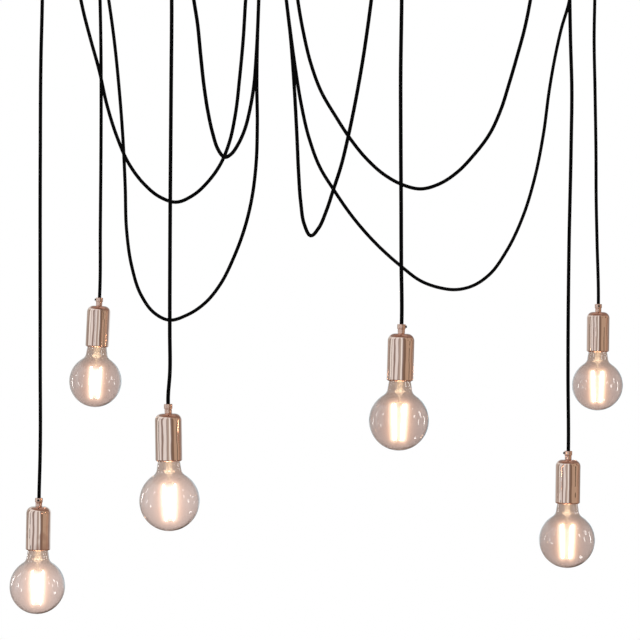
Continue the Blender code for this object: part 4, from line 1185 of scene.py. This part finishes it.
def stage_object(name, mesh, material):
    obj = new_object(name, mesh)
    mesh.materials.append(material)
    return obj


def hidden_from(obj, *rays):
    for ray in rays:
        setattr(obj, "visible_" + ray, False)


def gloss_object(name, mesh, material):
    """A studio object that shows in mirror reflections alone."""
    obj = stage_object(name, mesh, material)
    hidden_from(obj, "camera", "diffuse", "transmission", "volume_scatter", "shadow")
    return obj


def floor_material():
    look = Shading("pale floor")
    colour = look.mix_colour(look.noise(look.place(), 60.0, 3.0), (0.84, 0.84, 0.84), (0.88, 0.88, 0.88))
    seen = look.node("LightPath").outputs["Is Camera Ray"]
    lift = look.node("Emission", Color=(1.0, 1.0, 1.0), Strength=look.scaled(seen, 0.22))
    return look.surface(look.node("AddShader", look.node("BsdfDiffuse", Color=colour), lift))


def reflector_material(name, stops, shade=None):
    """A ring of pale and dark studio cards, told by bearing from the viewer's side, in degrees.

    With a shade, it pales upward but for its right side, and turns to the shade well above and
    below the lamps.
    """
    look = Shading(name)
    x, y, height = look.parts(look.place())
    turn = look.math("ARCTAN2", x, look.scaled(y, -1.0))
    ramp = look.node("ValToRGB", look.total(look.math("DIVIDE", turn, math.tau), 0.5))
    elements = ramp.color_ramp.elements
    for index, (bearing, shown) in enumerate(stops):
        position = bearing / 360.0 + 0.5
        element = elements[index] if index < 2 else elements.new(position)
        element.position = position
        linear = [((channel / 255.0 + 0.055) / 1.055) ** 2.4 for channel in shown]
        element.color = (*(channel / copper for channel, copper in zip(linear, COPPER_LIGHT)), 1.0)
    colour = ramp.outputs[0]
    if shade:
        rising = look.total(height, look.scaled(y, 0.3))
        glare = look.math("MULTIPLY", look.ranged(x, 2.0, 0.8, 0.0, 0.5), look.ranged(rising, 0.10, 0.80))
        colour = look.mix_colour(glare, colour, (1.02, 1.24, 1.32))
        leaning = look.total(height, look.scaled(y, 0.45), look.scaled(x, 0.25))
        over = look.ranged(leaning, 0.75, 1.30, 0.0, 0.85)
        under = look.ranged(height, -1.45, -1.70, 0.0, 0.85)
        colour = look.mix_colour(look.math("MAXIMUM", over, under), colour, shade)
    return look.surface(look.node("Emission", Color=colour, Strength=1.0))


def glint_material(strength):
    look = Shading("glint")
    patches = look.ranged(look.noise(look.place(), 9.0), 0.3, 0.7, 0.6, 1.2)
    shader = look.node("Emission", Color=(1.0, 0.98, 0.96), Strength=look.scaled(patches, strength))
    return look.surface(shader)


def ring_mesh(radius, low, high, sides=96):
    bm = bmesh.new()
    add_skin(bm, [add_ring(bm, radius, height, sides) for height in (low, high)], ends=False)
    return finished(bm, "ring")


def disc_mesh(radius, height, sides=96):
    bm = bmesh.new()
    bm.faces.new(add_ring(bm, radius, height, sides))
    return finished(bm, "disc")


def card_mesh(bearing, rise, distance, width, height):
    """An upright card that faces the middle of the lamps, told by bearing from the viewer's side."""
    direction = on_circle(1.0, bearing - 90.0)
    sideways, upward = direction.cross(UP) * (width / 2), UP * (height / 2)
    middle = GLINT_MIDDLE + direction * distance + UP * (distance * math.tan(math.radians(rise)))
    bm = bmesh.new()
    corners = [
        bm.verts.new(middle + sideways * side + upward * end)
        for side, end in ((-1, -1), (1, -1), (1, 1), (-1, 1))
    ]
    bm.faces.new(corners)
    return finished(bm, "card")


def studio_world():
    """White where it is seen, and a dimmer, cooler light on dull surfaces."""
    look = Shading("world", "World")
    path = look.node("LightPath").outputs
    seen = look.math("MAXIMUM", path["Is Camera Ray"], path["Is Transmission Ray"])
    seen = look.math("MAXIMUM", seen, path["Is Glossy Ray"])
    lighting = look.node("Background", Color=(0.96, 0.98, 1.0), Strength=0.55)
    white = look.node("Background", Color=(1.0, 1.0, 1.0), Strength=1.0)
    return look.surface(look.node("MixShader", seen, lighting, white))


def area_light(name, location, size, power, colour):
    """A lamp panel facing the middle of the part, which shows neither in mirrors nor through glass."""
    data = bpy.data.lights.new(name, "AREA")
    data.shape = "RECTANGLE"
    data.size, data.size_y = size
    data.energy = power
    data.color = colour
    obj = new_object(name, data)
    obj.location = location
    obj.rotation_euler = (LIGHT_AIM - obj.location).to_track_quat("-Z", "Y").to_euler()
    hidden_from(obj, "camera", "glossy", "transmission")


stage_object("floor", disc_mesh(1.6, FLOOR_HEIGHT), floor_material())
ring_cards = reflector_material("reflectors", REFLECTOR_STOPS, RING_SHADE)
lid_cards, under_cards = reflector_material("lid", LID_STOPS), reflector_material("under", UNDER_STOPS)
gloss_object("reflector_ring", ring_mesh(STUDIO_RADIUS, FLOOR_HEIGHT, STUDIO_TOP), ring_cards)
gloss_object("reflector_lid", disc_mesh(STUDIO_RADIUS, STUDIO_TOP), lid_cards)
gloss_object("reflector_floor", disc_mesh(STUDIO_RADIUS, UNDER_HEIGHT), under_cards)

globes = bpy.data.collections.new("globes")
for lamp in LAMPS:
    globes.objects.link(bpy.data.objects[f"globe_{lamp + 1}"])
glint_light = glint_material(GLINT_STRENGTH)
for index, glint in enumerate(GLINTS):
    card = gloss_object(f"glint_{index + 1}", card_mesh(*glint), glint_light)
    card.light_linking.receiver_collection = globes

SCENE.world = studio_world()
area_light("key_light", (-1.7, -2.1, 0.75), (1.2, 1.2), 22.0, (1.0, 0.98, 0.96))
area_light("fill_light", (2.1, -1.6, 0.2), (0.9, 1.4), 10.0, (1.0, 0.95, 0.90))
area_light("back_light", (0.6, 2.2, 0.6), (1.4, 0.8), 10.0, (0.95, 0.97, 1.0))
SCENE.view_settings.view_transform = "Standard"
